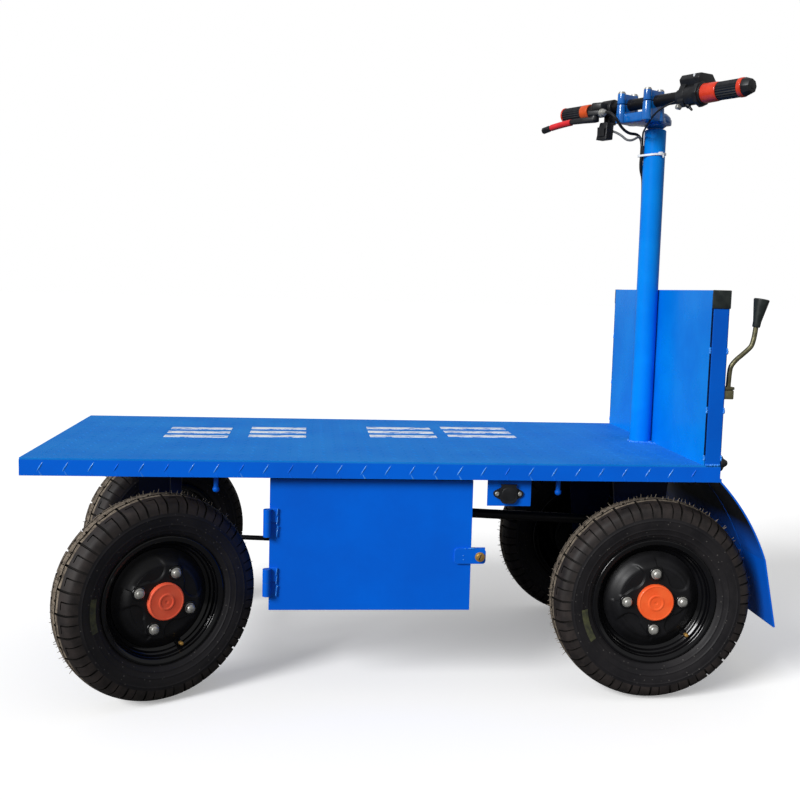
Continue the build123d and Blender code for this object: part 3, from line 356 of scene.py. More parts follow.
# Yellow passivated zinc on the lever's rod: dull olive that drifts with the plating
YELLOW_ZINC = Finish("yellow_passivated_zinc", "7C7858", "565440", 9, 0.6, 0.02, 0.4, 0.08,
                     metallic=0.55, rounding=0.5)
# Dulled turned brass
BRASS = Finish("dulled_turned_brass", "D8A858", "A88448", 6, 0.5, 0.02, 0.38, 0.08, metallic=0.6,
               rounding=0.4)
# Moulded polypropylene battery case
BATTERY_CASE = Finish("moulded_polypropylene_case", "232326", "2C2C30", 40, 1.0, 0.03, 0.5, 0.06,
                      rounding=1.0)
# Cast aluminium under dull black paint
MOTOR_CAST = Finish("painted_cast_aluminium", "1E1F21", "2A2B2D", 18, 1.4, 0.1, 0.5, 0.08,
                    metallic=0.2, rounding=1.2)

SLOT_FINISH = {
    "blue_paint": ENAMEL,
    "head_paint": HEAD_ENAMEL,
    "black_steel": CHASSIS_BLACK,
    "rim_black": RIM_BLACK,
    "tyre_rubber": SIDEWALL,
    "grip_rubber": GRIP_RUBBER,
    "black_plastic": BLACK_NYLON,
    "red_plastic": RED_SLEEVE,
    "cable_rubber": CABLE_JACKET,
    "zinc_yellow": YELLOW_ZINC,
    "bare_steel": BRIGHT_ZINC,
    "lock_brass": BRASS,
    "battery_case": BATTERY_CASE,
    "motor_cast": MOTOR_CAST,
}
NODE_FINISH = {
    "deck_plate": DECK_ENAMEL,
    "column_tube": TUBE_ENAMEL,
    "wall_panel": TUBE_ENAMEL,
    "post_near": POST_ENAMEL,
    "post_far": POST_ENAMEL,
    # Painted shade: the frame under the deck takes the dark navy enamel
    "rail_near": UNDER_ENAMEL,
    "rail_far": UNDER_ENAMEL,
    "crossmembers": UNDER_ENAMEL,
    "front_hangers": UNDER_ENAMEL,
    "rear_hangers": UNDER_ENAMEL,
    # Painted shade: the guard's upper inner faces take near black for the deck's shadow
    "fender_near": GUARD_ENAMEL,
    "fender_far": GUARD_ENAMEL,
    "rear_apron": GUARD_ENAMEL,
}


@dataclass(frozen=True)
class BrushedPaint:
    """Brushed paint that has flaked off a coloured ground.

    Flake is the width of the flakes in millimetres, and cover the share that is left.
    """

    name: str
    colour: str
    ground: str
    flake: float
    cover: float

    @cache
    def material(self) -> bpy.types.Material:
        """Build the material once and return it."""
        material, tree = blank_material(self.name)
        place = add_node(tree, "TexCoord").outputs["Object"]
        stretched = add_node(tree, "Mapping", {"Scale": (0.35, 1.0, 1.0)}, {"Vector": place})
        flakes = add_node(tree, "TexNoise", {"Scale": 1 / (self.flake * MM), "Detail": 6.0,
                                             "Roughness": 0.7},
                          {"Vector": stretched.outputs["Vector"]})
        left = add_node(tree, "MapRange", {"From Min": 0.62 - 0.25 * self.cover,
                                           "From Max": 0.7 - 0.25 * self.cover},
                        {"Value": flakes.outputs["Fac"]})
        tint = add_node(tree, "Mix", {"data_type": "RGBA", 6: srgb(self.ground),
                                      7: srgb(self.colour)}, {0: left.outputs["Result"]})
        bump = add_node(tree, "Bump", {"Distance": 0.05 * MM}, {"Height": left.outputs["Result"]})
        shader = add_node(tree, "BsdfPrincipled", {"Roughness": 0.55},
                          {"Base Color": tint.outputs[2], "Normal": bump.outputs["Normal"]})
        add_node(tree, "OutputMaterial", {}, {"Surface": shader.outputs["BSDF"]})
        return material


# White paint brushed on the deck, partly scraped away by loads
WORN_WHITE = BrushedPaint("worn_white_paint_on_enamel", "F4F8FC", "1E7CD6", 9, 0.85)


def at(origin: Sequence[float], x_axis: Sequence[float] = (1, 0, 0),
       z_axis: Sequence[float] = (0, 0, 1)) -> Matrix:
    """Make the matrix of a local frame.

    Args:
        origin: Place of the frame in millimetres.
        x_axis: Its X direction.
        z_axis: Its Z direction, made square to X.

    Returns:
        The frame as a 4 by 4 matrix.
    """
    x = Vector(x_axis).normalized()
    y = Vector(z_axis).cross(x).normalized()
    z = x.cross(y)
    turn = Matrix((x, y, z)).transposed()
    return Matrix.Translation(Vector(origin)) @ turn.to_4x4()


def extent(node: str) -> tuple[Vector, Vector]:
    """Low and high corners of a CAD node's box at rest, in millimetres."""
    low, high = (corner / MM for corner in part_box(node))
    return low, high


def everything(shape: Shape) -> list:
    """All the vertices, edges and faces of a shape."""
    return shape.verts[:] + shape.edges[:] + shape.faces[:]


def vertices(geometry: Iterable) -> list[bmesh.types.BMVert]:
    """The vertices among what an operator returned."""
    return [item for item in geometry if isinstance(item, bmesh.types.BMVert)]


def soften(shape: Shape, rounding: float, segments: int) -> None:
    """Round all the edges of a shape."""
    bmesh.ops.bevel(shape, geom=shape.edges[:], offset=rounding, offset_type="OFFSET",
                    affect="EDGES", segments=segments, profile=0.5, material=-1, clamp_overlap=True)


def slice_at(shape: Shape, place: Sequence[float], normal: Sequence[float],
             clear: bool = False) -> None:
    """Cut a shape's faces along a plane, and drop what lies beyond it where clear is set."""
    bmesh.ops.bisect_plane(shape, geom=everything(shape), dist=1e-4, plane_co=place,
                           plane_no=normal, clear_outer=clear)


def blank_material(name: str) -> tuple[bpy.types.Material, bpy.types.NodeTree]:
    """Make a material with an empty node tree, and return both."""
    material = bpy.data.materials.new(name)
    material.use_nodes = True
    material.node_tree.nodes.clear()
    return material, material.node_tree


def turned(points: Iterable[Corner], steps: int = 48, closed: bool = False,
           segments: int = 3) -> Shape:
    """Turn a half-section round the X axis.

    Args:
        points: Place along X, radius and corner rounding of each point.
        steps: Number of steps round the axis.
        closed: Whether the section's last point joins its first.
        segments: Steps in each rounded corner.

    Returns:
        The turned shape.
    """
    shape = bmesh.new()
    points = list(points)
    chain = [shape.verts.new((along, 0, radius)) for along, radius, _ in points]
    ends = list(zip(chain, chain[1:])) + ([(chain[-1], chain[0])] if closed else [])
    for first, second in ends:
        shape.edges.new((first, second))
    for vertex, (_, _, rounding) in zip(chain, points):
        if rounding:
            bmesh.ops.bevel(shape, geom=[vertex], offset=rounding, offset_type="OFFSET",
                            affect="VERTICES", segments=segments, profile=0.5, material=-1)
    bmesh.ops.spin(shape, geom=shape.verts[:] + shape.edges[:], cent=(0, 0, 0), axis=(1, 0, 0),
                   angle=math.tau, steps=steps, use_merge=True, use_duplicate=False)
    bmesh.ops.remove_doubles(shape, verts=shape.verts, dist=0.001)
    bmesh.ops.recalc_face_normals(shape, faces=shape.faces)
    return shape


def sleeve(start: float, stop: float, bore: float, radius: float, rounding: float,
           steps: int = 48) -> Shape:
    """Make a round sleeve along the X axis, with rounded outer ends."""
    return turned([(start, bore, 0), (start, radius, rounding), (stop, radius, rounding),
                   (stop, bore, 0)], steps, closed=True)


def block(low: Sequence[float], high: Sequence[float], rounding: float = 1.0,
          segments: int = 2) -> Shape:
    """Make a block between two corners, with rounded edges."""
    shape = bmesh.new()
    bmesh.ops.create_cube(shape, size=1.0)
    size = [b - a for a, b in zip(low, high)]
    bmesh.ops.scale(shape, vec=size, verts=shape.verts)
    bmesh.ops.translate(shape, vec=[(a + b) / 2 for a, b in zip(low, high)], verts=shape.verts)
    if rounding:
        soften(shape, rounding, segments)
    return shape


def prism(outline: Iterable[tuple[float, float]], low: float, high: float, rounding: float = 1.0,
          segments: int = 2) -> Shape:
    """Extrude a flat outline along Z, with rounded edges."""
    shape = bmesh.new()
    face = shape.faces.new([shape.verts.new((x, y, low)) for x, y in outline])
    grown = bmesh.ops.extrude_face_region(shape, geom=[face])["geom"]
    bmesh.ops.translate(shape, vec=(0, 0, high - low), verts=vertices(grown))
    bmesh.ops.recalc_face_normals(shape, faces=shape.faces)
    if rounding:
        soften(shape, rounding, segments)
    return shape


def tube(points: Iterable[Sequence[float]], radius: float, sides: int = 3) -> Shape:
    """Sweep a round section along a smooth curve through the region of its control points.

    Args:
        points: Control points of the curve.
        radius: Radius of the section.
        sides: Bevel resolution of the section.

    Returns:
        The tube, with closed ends.
    """
    curve = bpy.data.curves.new("route", "CURVE")
    curve.dimensions = "3D"
    points = list(points)
    spline = curve.splines.new("NURBS")
    spline.points.add(len(points) - 1)
    for knot, point in zip(spline.points, points):
        knot.co = (*point, 1.0)
    spline.order_u = min(3, len(points))
    spline.use_endpoint_u = True
    curve.bevel_depth = radius
    curve.bevel_resolution = sides
    curve.resolution_u = 10
    curve.use_fill_caps = True
    carrier = bpy.data.objects.new("route", curve)
    bpy.context.scene.collection.objects.link(carrier)
    seen = carrier.evaluated_get(bpy.context.evaluated_depsgraph_get())
    mesh = bpy.data.meshes.new_from_object(seen)
    shape = bmesh.new()
    shape.from_mesh(mesh)
    bpy.data.objects.remove(carrier)
    bpy.data.curves.remove(curve)
    bpy.data.meshes.remove(mesh)
    return shape


def weld_bead(points: Sequence[Sequence[float]], width: float, seed: int) -> Shape:
    """Lay overlapping weld ripples along a path.

    Args:
        points: Places of the ripples, close enough to overlap.
        width: Width of the bead.
        seed: Seed of the small differences between ripples.

    Returns:
        The bead.
    """
    chance = random.Random(seed)
    shape = bmesh.new()
    for point in points:
        grown = bmesh.ops.create_icosphere(shape, subdivisions=2, radius=width / 2)["verts"]
        size = [chance.uniform(0.8, 1.2) for _ in range(3)]
        bmesh.ops.scale(shape, vec=size, verts=grown)
        shift = Vector(point) + Vector([chance.uniform(-0.08, 0.08) * width for _ in range(3)])
        bmesh.ops.translate(shape, vec=shift, verts=grown)
    return shape


def line_points(start: Sequence[float], end: Sequence[float], pitch: float) -> list[Vector]:
    """Places at an even pitch on a straight line, both ends among them."""
    first, last = Vector(start), Vector(end)
    count = max(1, round((last - first).length / pitch))
    return [first.lerp(last, index / count) for index in range(count + 1)]


class Piece:
    """One piece of the truck while it is made, with a finish for each of its parts."""

    def __init__(self, name: str) -> None:
        """Start an empty piece."""
        self.name = name
        self.mesh = bmesh.new()
        self.materials: list[bpy.types.Material] = []

    def add(self, part: Shape, finish: Finish | BrushedPaint,
            place: Matrix | None = None) -> None:
        """Join a part to the piece.

        Args:
            part: The part, which is used up.
            finish: Finish of all its faces.
            place: Frame that the part was made in, if it isn't the truck's.
        """
        material = finish.material()
        if material not in self.materials:
            self.materials.append(material)
        for face in part.faces:
            face.material_index = self.materials.index(material)
        self.add_many(part, place)

    def add_many(self, part: Shape, place: Matrix | None = None) -> None:
        """Join a part whose faces already carry the numbers of this piece's finishes."""
        if place is not None:
            bmesh.ops.transform(part, matrix=place, verts=part.verts)
        carrier = bpy.data.meshes.new("part")
        part.to_mesh(carrier)
        part.free()
        self.mesh.from_mesh(carrier)
        bpy.data.meshes.remove(carrier)

    def weld(self, start: Sequence[float], end: Sequence[float], pitch: float, width: float,
             seed: int) -> None:
        """Lay a straight weld bead, with its ripples at a pitch."""
        self.add(weld_bead(line_points(start, end, pitch), width, seed), WELD_ENAMEL)

    def done(self, body: str, slot: str, replaces: Sequence[str] = (), corner: float = 35.0,
             blend: tuple | None = None) -> bpy.types.Object:
        """Turn the piece into an object that moves with the truck.

        Args:
            body: CAD body that it rides on.
            slot: The record's material slot of its main finish; not used.
            replaces: CAD nodes that it stands for.
            corner: Angle in degrees over which an edge stays sharp.
            blend: Two bodies and two points; when given, the piece is left unparented with its
                place baked in, and nothing bends it.

        Returns:
            The new object.
        """
        bmesh.ops.remove_doubles(self.mesh, verts=self.mesh.verts, dist=0.0005)
        bmesh.ops.recalc_face_normals(self.mesh, faces=self.mesh.faces)
        bmesh.ops.scale(self.mesh, vec=(MM, MM, MM), verts=self.mesh.verts)
        data = bpy.data.meshes.new(self.name)
        self.mesh.to_mesh(data)
        self.mesh.free()
        data.shade_smooth()
        data.set_sharp_from_angle(angle=math.radians(corner))
        for material in self.materials:
            data.materials.append(material)
        piece = bpy.data.objects.new(self.name, data)
        bpy.context.scene.collection.objects.link(piece)
        if blend:
            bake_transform(piece)
        else:
            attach(piece, body)
        if replaces:
            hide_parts(*replaces)
        log.info("%s: %d faces on %s", self.name, len(data.polygons), body)
        return piece


@dataclass(frozen=True)
class Studio:
    """Camera at the photograph's angle, pale floor and soft light, in metres."""

    eye: tuple[float, float, float] = (-0.1849, -2.0358, 0.7210)
    right: tuple[float, float, float] = (0.9959, -0.0866, 0.0262)
    forward: tuple[float, float, float] = (0.0889, 0.9905, -0.1051)
    lens: float = 46.78
    floor_colour: str = "F8F8F8"
    floor_bounce: str = "6E6E6E"
    floor_lift: float = 0.3
    sky: float = 0.38
    sun: tuple[float, float, float] = (-0.66, -0.6, 0.46)
    sun_power: float = 3.1
    sun_width: float = 24.0
    floor_half: float = 60.0

    def build(self) -> None:
        """Set up the camera, the floor, the lights and the colour settings."""
        self._camera()
        self._floor()
        self._lights()
        scene = bpy.context.scene
        scene.view_settings.view_transform = "Standard"
        scene.view_settings.look = "None"

    def _camera(self) -> None:
        """Aim the camera."""
        data = bpy.data.cameras.new("camera")
        data.lens = self.lens
        data.sensor_width = 36.0
        camera = bpy.data.objects.new("camera", data)
        right = Vector(self.right).normalized()
        back = -Vector(self.forward).normalized()
        up = back.cross(right).normalized()
        turn = Matrix((right, up, back)).transposed()
        camera.matrix_world = Matrix.Translation(self.eye) @ turn.to_4x4()
        bpy.context.scene.collection.objects.link(camera)
        bpy.context.scene.camera = camera

    def _floor(self) -> None:
        """Lay a wide pale floor that throws little light back under the truck."""
        shape = bmesh.new()
        bmesh.ops.create_grid(shape, x_segments=4, y_segments=4, size=self.floor_half)
        data = bpy.data.meshes.new("floor")
        shape.to_mesh(data)
        shape.free()
        floor = bpy.data.objects.new("floor", data)
        material, tree = blank_material("pale_painted_floor")
        path = add_node(tree, "LightPath")
        tint = add_node(tree, "Mix", {"data_type": "RGBA", 6: srgb(self.floor_bounce),
                                      7: srgb(self.floor_colour)},
                        {0: path.outputs["Is Camera Ray"]})
        lift = add_node(tree, "Math", {"operation": "MULTIPLY", 1: self.floor_lift},
                        {0: path.outputs["Is Camera Ray"]})
        shader = add_node(tree, "BsdfPrincipled", {"Roughness": 0.9, "Specular IOR Level": 0.0,
                                                   "Emission Color": (1.0, 1.0, 1.0, 1.0)},
                          {"Base Color": tint.outputs[2],
                           "Emission Strength": lift.outputs["Value"]})
        add_node(tree, "OutputMaterial", {}, {"Surface": shader.outputs["BSDF"]})
        data.materials.append(material)
        bpy.context.scene.collection.objects.link(floor)

    def _lights(self) -> None:
        """Light the truck with one wide soft source on the left of the camera and a pale sky."""
        data = bpy.data.lights.new("key", "SUN")
        data.energy = self.sun_power
        data.angle = math.radians(self.sun_width)
        lamp = bpy.data.objects.new("key", data)
        lamp.matrix_world = Vector(self.sun).to_track_quat("Z", "Y").to_matrix().to_4x4()
        bpy.context.scene.collection.objects.link(lamp)
        world = bpy.data.worlds.new("sky")
        world.use_nodes = True
        tree = world.node_tree
        tree.nodes.clear()
        path = add_node(tree, "LightPath")
        power = add_node(tree, "MapRange", {"To Min": self.sky, "To Max": 1.0},
                         {"Value": path.outputs["Is Camera Ray"]})
        sky = add_node(tree, "Background", {"Color": (1.0, 1.0, 1.0, 1.0)},
                       {"Strength": power.outputs["Result"]})
        add_node(tree, "OutputWorld", {}, {"Surface": sky.outputs["Background"]})
        bpy.context.scene.world = world


def arc(first: Sequence[float], middle: Sequence[float], last: Sequence[float],
        count: int) -> list[Vector]:
    """Points on the arc through three points of a plane, both ends among them."""
    a, b, c = Vector(first), Vector(middle), Vector(last)
    d = 2 * (a.x * (b.y - c.y) + b.x * (c.y - a.y) + c.x * (a.y - b.y))
    squares = a.length_squared, b.length_squared, c.length_squared
    centre = Vector((
        (squares[0] * (b.y - c.y) + squares[1] * (c.y - a.y) + squares[2] * (a.y - b.y)) / d,
        (squares[0] * (c.x - b.x) + squares[1] * (a.x - c.x) + squares[2] * (b.x - a.x)) / d,
    ))
    start, end = a - centre, c - centre
    turn = start.angle_signed(end)
    return [centre + (Matrix.Rotation(-turn * step / count, 2) @ start)
            for step in range(count + 1)]


@dataclass(frozen=True)
class Tyre:
    """A 3.00-8 road tyre with a block tread, in the frame of its wheel.

    X runs outwards along the axle and Z up.
    """

    radius: float = 181.5
    half_width: float = 42.5
    shoulder_drop: float = 11.5
    shoulder_inset: float = 4.0
    rim_flange: float = 113.0
    bulge_rise: float = 29.0
    half_rim: float = 34.0
    seat: float = 103.3
    pitches: int = 28
    steps: int = 4
    groove: float = 5.5
    tread_half: float = 57.0
    cuts_across: tuple[float, ...] = (4.0, 7.5, 11.0, 17.0, 24.0, 26.0, 33.0, 38.0, 42.0, 46.0,
                                      51.0)
    cuts_along: tuple[float, ...] = (0.25, 0.36, 0.42, 0.5, 0.74, 0.86, 0.92, 0.9, 0.24, 0.4)
    ribs: tuple[float, ...] = (62.0, 78.0, 88.0)
    dust_and_highlight_half: float = 15.0
    side_step: float = 1.3
    ink_run: float = 82.0
    ink_half: float = 6.0
    ink_sweep: float = 13.0
    hair: float = 7.5
    hair_count: int = 110
    hair_rows: tuple[float, ...] = (-9.0, -3.0, 3.0, 9.0)
    hair_sweep: float = 125.0

    def contour(self) -> list[Vector]:
        """Outline of half the tyre from the middle of the crown to the rim, evenly spaced."""
        shoulder = (self.half_width - self.shoulder_inset, self.radius - self.shoulder_drop)
        crown = arc((-shoulder[0], shoulder[1]), (0, self.radius), shoulder, 120)[60:]
        side = arc(shoulder, (self.half_width, self.rim_flange + self.bulge_rise),
                   (self.half_rim, self.rim_flange + 4), 60)
        points = crown + side[1:]
        soft = [points[0]]
        for index in range(1, len(points) - 1):
            near = points[max(0, index - 7):index + 8]
            inner = 8 < index < len(points) - 9
            soft.append(sum(near, Vector((0, 0))) / len(near) if inner else points[index])
        return soft + [points[-1]]

    def at_arc(self, contour: list[Vector], run: float) -> tuple[Vector, Vector]:
        """Point and outward normal at a length along the contour, on either side of the crown."""
        left = abs(run)
        for first, second in zip(contour, contour[1:]):
            step = (second - first).length
            if left <= step or second is contour[-1]:
                point = first.lerp(second, left / step)
                normal = Vector((-(second - first).y, (second - first).x)).normalized()
                if normal.dot(point - Vector((0, self.radius * 0.6))) < 0:
                    normal.negate()
                side = math.copysign(1.0, run)
                return Vector((point.x * side, point.y)), Vector((normal.x * side, normal.y))
            left -= step
        raise ValueError("the contour has no points")

    def _tall(self, run: float, share: float) -> bool:
        """Whether a block stands at this place of a pitch: run across, share along."""
        if run < 0:
            share = (share + 0.5) % 1.0
        across = abs(run)
        if across < 7.5:
            return not (0.4 < share < 0.5 and across > 4.0)
        if across < 11.0 or share > 0.9 or (across > 24.0 and 0.36 < share < 0.42):
            return False
        return not (24.0 < across < 26.0 and 0.42 <= share < 0.74)

    def _pitch(self) -> Shape:
        """One pitch of tread as a flat strip: X across, Y along from 0 to 1, Z the height share."""
        strip = bmesh.new()
        bmesh.ops.create_grid(strip, x_segments=1, y_segments=1, size=1.0)
        bmesh.ops.scale(strip, vec=(self.tread_half, 0.5, 1), verts=strip.verts)
        bmesh.ops.translate(strip, vec=(0, 0.5, 0), verts=strip.verts)
        runs = [side * cut for cut in self.cuts_across for side in (-1, 1)]
        for cut in runs:
            slice_at(strip, (cut, 0, 0), (1, 0, 0))
        for cut in self.cuts_along:
            slice_at(strip, (0, cut, 0), (0, 1, 0))
        for face in strip.faces:
            centre = face.calc_center_median()
            face.material_index = 3
            face.tag = self._tall(centre.x, centre.y)
        tops = [face for face in strip.faces if face.tag]
        grown = bmesh.ops.extrude_face_region(strip, geom=tops)["geom"]
        bmesh.ops.translate(strip, vec=(0, 0, 1), verts=vertices(grown))
        for face in [g for g in grown if isinstance(g, bmesh.types.BMFace)]:
            # Tread tops near the middle take the pale crown rubber: dust, partly a painted
            # highlight
            face.material_index = 2 if abs(face.calc_center_median().x) < self.dust_and_highlight_half else 1
        bmesh.ops.delete(strip, geom=tops, context="FACES_ONLY")
        return strip

    def build(self, name: str, body: str, wheel: Matrix, ink_turn: float | None) -> None:
        """Make the tyre and stand it for its CAD node.

        Args:
            name: Name of the wheel's corner.
            body: CAD body of the wheel.
            wheel: Frame of the wheel.
            ink_turn: Place of the ink band round the side in degrees, if it has one.
        """
        piece = Piece(f"tread_tyre_{name}")
        piece.materials = [finish.material() for finish in (SIDEWALL, SHOULDER, CROWN, GROOVE)]
        contour = self.contour()
        angle = math.tau / self.pitches
        strip = self._pitch()
        for vertex in strip.verts:
            run, share, height = vertex.co
            if 4.0 < abs(run) < 17.0:
                run += 1.6 * (1 - 4 * abs(share - 0.5)) * math.sin(math.pi * (abs(run) - 4) / 13)
            point, normal = self.at_arc(contour, run)
            fade = min(1.0, max(0.0, (self.tread_half - abs(run)) / 26.0))
            place = point - normal * self.groove * fade * (1 - height)
            turn = Matrix.Rotation(angle * share, 3, "X")
            vertex.co = turn @ Vector((place.x, 0, place.y))
        bmesh.ops.spin(strip, geom=everything(strip), cent=(0, 0, 0), axis=(1, 0, 0),
                       angle=math.tau, steps=self.pitches, use_duplicate=True)
        bmesh.ops.remove_doubles(strip, verts=strip.verts, dist=0.02)
        piece.add_many(strip, wheel)
        piece.add_many(self._sides(contour), wheel)
        if ink_turn is not None:
            piece.add(self._ink(contour, ink_turn), TYRE_INK, wheel)
        piece.add(self._hairs(contour), HAIR_RUBBER, wheel)
        piece.done(body, "tyre_rubber", [f"tyre_{name}"], corner=28)

    def _sides(self, contour: list[Vector]) -> Shape:
        """Both sides and the bore, with fine raised rings."""
        total = sum((b - a).length for a, b in zip(contour, contour[1:]))
        half: list[Corner] = []
        run = self.tread_half
        while run < total:
            point, normal = self.at_arc(contour, run)
            lift = sum(0.7 * math.exp(-((run - rib) / 1.1) ** 2) for rib in self.ribs)
            spot = point + normal * lift
            half.append((spot.x, spot.y, 0))
            run += self.side_step
        half += [(self.half_rim, self.rim_flange + 4, 0),
                 (self.half_rim - 3.4, self.rim_flange + 0.4, 0),
                 (self.half_rim - 4.2, self.seat, 0)]
        mirrored = [(-along, radius, rounding) for along, radius, rounding in reversed(half)]
        return turned(half + mirrored, steps=self.pitches * self.steps)

    def _ink(self, contour: list[Vector], middle: float) -> Shape:
        """A wiped band of ink on the outer side, laid just over the rubber."""
        band = bmesh.new()
        bmesh.ops.create_grid(band, x_segments=6, y_segments=12, size=1.0)
        for vertex in band.verts:
            point, normal = self.at_arc(contour, self.ink_run + self.ink_half * vertex.co.x)
            spot = point + normal * 0.9
            turn = Matrix.Rotation(math.radians(middle + self.ink_sweep * vertex.co.y), 3, "X")
            vertex.co = turn @ Vector((spot.x, 0, spot.y))
        return band

    def _hairs(self, contour: list[Vector]) -> Shape:
        """Moulding hairs on the crown of a new tyre, left where it hasn't touched the road."""
        chance = random.Random(8)
        shape = bmesh.new()
        for index in range(self.hair_count):
            run = chance.choice(self.hair_rows) + chance.uniform(-1.0, 1.0)
            point, normal = self.at_arc(contour, run)
            height = self.hair * chance.uniform(0.5, 1.0)
            grown = bmesh.ops.create_cone(shape, cap_ends=True, segments=5, radius1=0.75,
                                          radius2=0.4, depth=height)["verts"]
            lean = Vector((normal.x + chance.uniform(-0.4, 0.4), chance.uniform(-0.4, 0.4),
                           normal.y))
            aim = lean.to_track_quat("Z", "Y").to_matrix().to_4x4()
            middle = Vector((point.x, 0, point.y)) + lean.normalized() * (height / 2 - 0.3)
            along = 2 * self.hair_sweep * index / (self.hair_count - 1)
            around = -self.hair_sweep + along + chance.uniform(-1.5, 1.5)
            turn = Matrix.Rotation(math.radians(around), 4, "X")
            bmesh.ops.transform(shape, matrix=turn @ Matrix.Translation(middle) @ aim, verts=grown)
        return shape


@dataclass(frozen=True)
class Wheel:
    """A pressed steel rim with its disc, nuts, cap and valve, in the wheel's frame."""

    flange: float = 113.0
    half_rim: float = 34.0
    seat: float = 103.0
    well: float = 90.0
    disc_face: float = 34.0
    nut_circle: float = 50.5
    pocket_circle: float = 61.0
    pocket_round: float = 22.0
    pocket_turn: float = 43.0
    pocket_depth: float = 4.0
    cap: float = 32.5
    valve_circle: float = 89.0
    cap_rise: tuple[Corner, ...] = ((7.5, 32.5, 1.2), (8.6, 30.0, 0.6), (8.0, 28.5, 0.5),
                                    (8.0, 15, 0.5), (8.8, 13.6, 0.4), (8.8, 11.4, 0.4),
                                    (8.0, 10, 0.5), (8.2, 3, 0.4), (7.6, 2, 0.3), (7.6, 0, 0))
    nut_seat: tuple[Corner, ...] = ((-2, 9.5, 0), (0.8, 9.5, 0), (1.6, 10.6, 0.4), (1.2, 12.2, 0.6),
                                    (-0.5, 13.4, 0), (-2, 13.4, 0))
    nut: tuple[Corner, ...] = ((0, 0, 0), (0, 9.2, 0), (1.4, 9.2, 0.3), (1.6, 7.6, 0),
                               (6.4, 7.4, 0.8), (8.8, 5.0, 1.2), (9.6, 0, 0))
    stem: tuple[Corner, ...] = ((0, 0, 0), (0, 6.5, 0), (4, 6.5, 1), (7, 4.2, 1), (16, 3.8, 0.5),
                                (16, 0, 0))
    flank: tuple[tuple[float, float], ...] = ((0.3, 63), (1.2, 65), (2.6, 67), (4.4, 69), (6.4, 71),
                                              (8.6, 73), (11, 75), (13.6, 77), (16.4, 79.5),
                                              (19, 82))

    def build(self, name: str, body: str, wheel: Matrix, turn: float, valve: float, cap: Finish,
              driven: bool) -> None:
        """Make the wheel and stand it for its CAD node.

        Args:
            name: Name of the wheel's corner.
            body: CAD body of the wheel.
            wheel: Frame of the wheel.
            turn: Place of a nut in degrees from the top.
            valve: Place of the valve in degrees from the top.
            cap: Finish of its plastic cap.
            driven: Whether it carries a brake drum.
        """
        piece = Piece(f"pressed_wheel_{name}")
        piece.add(self._rim(), RIM_BLACK, wheel)
        piece.add(self._disc(turn), DISC_BLACK, wheel)
        piece.add(self._hub(driven), CHASSIS_BLACK, wheel)
        face = self.disc_face
        crown = [(face + rise, radius, rounding) for rise, radius, rounding in self.cap_rise]
        piece.add(turned([(face - 1, 0, 0), (face - 1, self.cap, 0)] + crown, 72), cap, wheel)
        for index in range(4):
            spin = Matrix.Rotation(math.radians(turn + 90 * index), 4, "X")
            spot = wheel @ spin @ Matrix.Translation((face, 0, self.nut_circle))
            piece.add(turned(self.nut_seat, 32, closed=True), RIM_BLACK, spot)
            piece.add(turned(self.nut, 28), BRIGHT_ZINC, spot)
        spin = Matrix.Rotation(math.radians(valve), 4, "X")
        stem = wheel @ spin @ Matrix.Translation((8, 0, self.valve_circle))
        piece.add(turned(self.stem, 24), CABLE_JACKET, stem)
        piece.add(turned([(15, 0, 0), (15, 3.2, 0), (24, 3.2, 0.8), (25, 0, 0)], 20), BRASS, stem)
        piece.done(body, "rim_black", [f"wheel_{name}"], corner=40)

    def _rim(self) -> Shape:
        """The stepped rim, as a sheet with thickness."""
        edge, seat, well = self.half_rim, self.seat, self.well
        outer = [(edge - 1.2, self.flange, 1.4), (edge - 3.9, self.flange - 0.4, 0),
                 (edge - 4.4, seat, 2), (14, seat, 2), (8, well, 2), (-10, well, 2), (-16, seat, 2),
                 (4.4 - edge, seat, 2), (3.9 - edge, self.flange - 0.4, 0),
                 (1.2 - edge, self.flange, 1.4)]
        inner = [(-edge, self.flange - 2, 0.8), (-edge, seat - 3, 2), (-18, seat - 3, 2),
                 (-12, well - 3, 2), (10, well - 3, 1.5), (13.5, well + 4, 1.5),
                 (16.5, well + 5, 1.5), (19, seat - 4, 1.5), (25, seat - 3.2, 1.2),
                 (26.5, seat - 1.2, 1), (31.5, seat - 0.4, 1.5), (33, seat + 3.5, 1.2),
                 (edge, self.flange - 5, 1.2), (edge + 0.4, self.flange - 2, 1.2)]
        return turned(outer + inner, 112, closed=True)

    def _in_pocket(self, place: Vector, turn: float) -> float:
        """How deep a point of the disc's face lies in a pressed pocket, from 0 to 1."""
        radius = math.hypot(place.y, place.z)
        angle = (math.degrees(math.atan2(-place.y, place.z)) - turn) % 90.0
        middle = math.radians(self.pocket_turn)
        here = Vector((radius * math.cos(math.radians(angle)),
                       radius * math.sin(math.radians(angle))))
        centre = Vector((self.pocket_circle * math.cos(middle),
                         self.pocket_circle * math.sin(middle)))
        inside = self.pocket_round - (here - centre).length
        if angle > self.pocket_turn:
            sweep = (angle - self.pocket_turn) / (90.0 - self.pocket_turn)
            floor = self.pocket_circle - self.pocket_round * (1.0 - min(1.0, sweep * 1.25)) ** 0.6
            inside = max(inside, radius - floor)
        share = min(1.0, max(0.0, inside / 5.0 + 0.2))
        return share * share * (3 - 2 * share)

